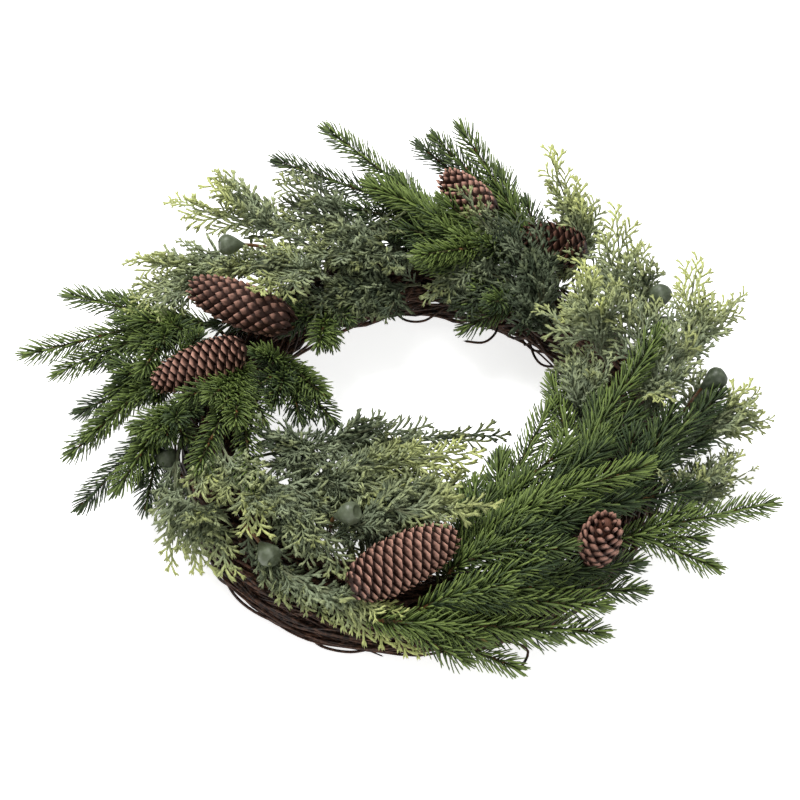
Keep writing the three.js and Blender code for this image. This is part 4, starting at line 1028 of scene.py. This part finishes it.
for number, (name, given) in enumerate(CONES.items()):
    foot, base_at, tip_at, radius, rows, opened, thick, pale, broad = given
    draw = np.random.default_rng(300 + number)
    cone = Bunch()
    base_end, tip_end = ring_point(*base_at), ring_point(*tip_at)
    axis = unit(tip_end - base_end)
    length = np.linalg.norm(tip_end - base_end)
    side = unit(np.cross(axis, UP))
    over = np.cross(side, axis)
    stalk = stalk_line(foot, base_end + axis * CONE_STALK_DEPTH, axis)
    lay_stem(cone, stalk, CONE_STALK_RADIUS, CONE_STALK_RADIUS, 0.3)
    shares = np.linspace(0, 1, SPINDLE_RINGS)
    core = radius / 1000 * SPINDLE_SHARE * np.interp(shares, *CONE_PROFILE.T)
    spindle = base_end + axis * shares[:, None] * length * SPINDLE_LENGTH
    cone.lay_tubes(spindle_tube, spindle[None], core, UP, 0.0, 0.0, 1.0)
    scales = rows[0] * rows[1]
    share = ((np.arange(scales) + 0.5) / scales) ** TIP_CROWDING
    turn = np.arange(scales) * GOLDEN_TURN
    size = radius / 1000 * np.interp(share, *CONE_PROFILE.T)
    out = np.cos(turn)[:, None] * side + np.sin(turn)[:, None] * over
    lean = np.radians(opened * (1 - 0.5 * share) + draw.normal(0, 2, scales))[:, None]
    ahead = np.cos(lean) * axis + np.sin(lean) * out
    face_up = np.cos(lean) * out - np.sin(lean) * axis
    across = np.cross(face_up, ahead)
    slim = 0.5 + 0.5 * size / size.max()
    half = np.maximum(SCALE_HALF * length / rows[0], SCALE_LEAST) * slim
    wide = SCALE_COVER * broad * math.pi * size / rows[1]
    deep = SCALE_DEPTH * slim * thick
    lip_at = base_end + axis * (share * length)[:, None] + out * (size * SCALE_SEAT)[:, None]
    middle = lip_at - ahead * (half * 0.55)[:, None]
    local = scale_shape.corners
    corners = (
        middle[:, None]
        + local[None, :, :1] * (half[:, None] * ahead)[:, None]
        + local[None, :, 1:2] * (wide[:, None] * across)[:, None]
        + local[None, :, 2:] * (deep[:, None] * face_up)[:, None]
    )
    tints = np.zeros(corners.shape[:2] + (4,))
    # How far along each scale, and how far from its middle line: both drive its painted gap shade.
    tints[..., 0] = np.clip(local[:, 0] * 0.5 + 0.5, 0, 1)
    tints[..., 1] = np.clip(pale + draw.normal(0, 0.1, (scales, 1)), 0, 1)
    tints[..., 2] = np.abs(local[:, 1])
    cone.lay(scale_shape, corners, tints)
    piece = cone.finish(name.replace("cone", "spruce_cone"), cone_finish, "cone")
    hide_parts(name)


# ---- Gum pods ---------------------------------------------------------------------------
# Unopened gum nuts with a waxy grey-green bloom, on thin woody stalks pushed between the
# vines: a drop that narrows to its stalk, with a blunt crown and a faint rim round it.
POD_RADIUS = 0.009
POD_STALK_RADIUS = 0.0014
POD_FORK_RADIUS = 0.0012
POD_FORK_RING = 7
POD_FORK_LIFT = 0.004
POD_SIDES = 20
POD_PROFILE = (  # distance from the middle and height, in radii
    (0.0, -1.5), (0.16, -1.4), (0.3, -1.15), (0.56, -0.75), (0.82, -0.3), (0.96, 0.1), (0.94, 0.42),
    (0.82, 0.64), (0.66, 0.78), (0.6, 0.85), (0.5, 0.83), (0.42, 0.74), (0.2, 0.78), (0.0, 0.8),
)
POD_BULGE = 0.025  # four faint ribs

# Each: foot, how pale, and its pods: degrees, distance, height.
PODS = {
    "pod_front_right": ((238, 150), 0.7, [(246, 129, 84)]),
    "pod_front_left": ((220, 80), 0.6, [(232, 178, 66)]),
    "pod_left": ((194, 22), 0.5, [(192, 196, 46)]),
    "pods_back": ((126, 70), 0.4, [(139, 201, 100), (133, 180, 78)]),
    "pods_right_upper": ((14, 60), 0.2, [(23, 202, 98), (18, 200, 80)]),
    "pods_right_lower": ((358, 40), 0.1, [(3, 224, 78), (1, 216, 66)]),
}


def pod_shape():
    bm = bmesh.new()
    corners = [bm.verts.new((x, 0, z)) for x, z in POD_PROFILE]
    edges = [bm.edges.new(pair) for pair in zip(corners, corners[1:])]
    outline = corners + edges
    whole = {"axis": (0, 0, 1), "cent": (0, 0, 0), "angle": math.tau}
    bmesh.ops.spin(bm, geom=outline, steps=POD_SIDES, use_merge=True, **whole)
    bmesh.ops.remove_doubles(bm, verts=bm.verts[:], dist=1e-4)
    for corner in bm.verts:
        angle = math.atan2(corner.co.y, corner.co.x)
        bulge = 1 + POD_BULGE * math.cos(4 * angle)
        corner.co.x *= bulge
        corner.co.y *= bulge
    bmesh.ops.recalc_face_normals(bm, faces=bm.faces[:])
    return Shape(bm)


pod_drop = pod_shape()
SKIN_DARK = paint(52, 62, 44)
SKIN_PALE = paint(100, 108, 84)
BLOOM_GREY = paint(136, 146, 124)
STALK_BROWN = paint(108, 74, 44)
pod_finish = Finish("waxy_pods", 0.48)
_, shade, _, wood = pod_finish.growth()
bloom = pod_finish.noise(0.006, 4.0)
skin = pod_finish.mix(shade, SKIN_DARK, SKIN_PALE)
waxy = pod_finish.mix((bloom + 0.1).between(0.0, 0.35) * 0.4, skin, BLOOM_GREY)
pod_finish.set(Base_Color=pod_finish.mix(wood, waxy, STALK_BROWN))
pod_finish.set(Roughness=0.45 + bloom * 0.3)
pod_finish.bump(pod_finish.noise(0.003), 0.0004)

for number, (name, (foot, tone, pods)) in enumerate(PODS.items()):
    draw = np.random.default_rng(400 + number)
    sprig = Bunch()
    first = ring_point(*pods[0])
    from_root = first - in_bundle(foot[0], math.radians(foot[1]), 1.0)
    from_root[2] = 0.006
    stalk = stalk_line(foot, first, unit(from_root))
    lay_stem(sprig, stalk, POD_STALK_RADIUS, POD_STALK_RADIUS, 0.5)
    ends = [(first, unit(stalk[-1] - stalk[-3]))]
    for pod in pods[1:]:
        start, end = stalk[POD_FORK_RING], ring_point(*pod)
        lift = UP * POD_FORK_LIFT
        line = bezier([start, start + lift, (start + end) / 2 + lift, end], STEM_RINGS)
        lay_stem(sprig, line, POD_FORK_RADIUS, POD_FORK_RADIUS, 0.5)
        ends.append((end, unit(line[-1] - line[-3])))
    for end, heading in ends:
        side = unit(np.cross(heading, UP))
        turn = np.stack([side, np.cross(heading, side), heading])
        corners = end + (pod_drop.corners * POD_RADIUS) @ turn
        tints = np.zeros((1, len(corners), 4))
        tints[..., 0] = 0.5
        tints[..., 1] = np.clip(tone + draw.normal(0, 0.08), 0, 1)
        sprig.lay(pod_drop, corners[None], tints)
    piece = sprig.finish(name.replace("pod", "gum_pod"), pod_finish, "pod")
    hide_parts(name)
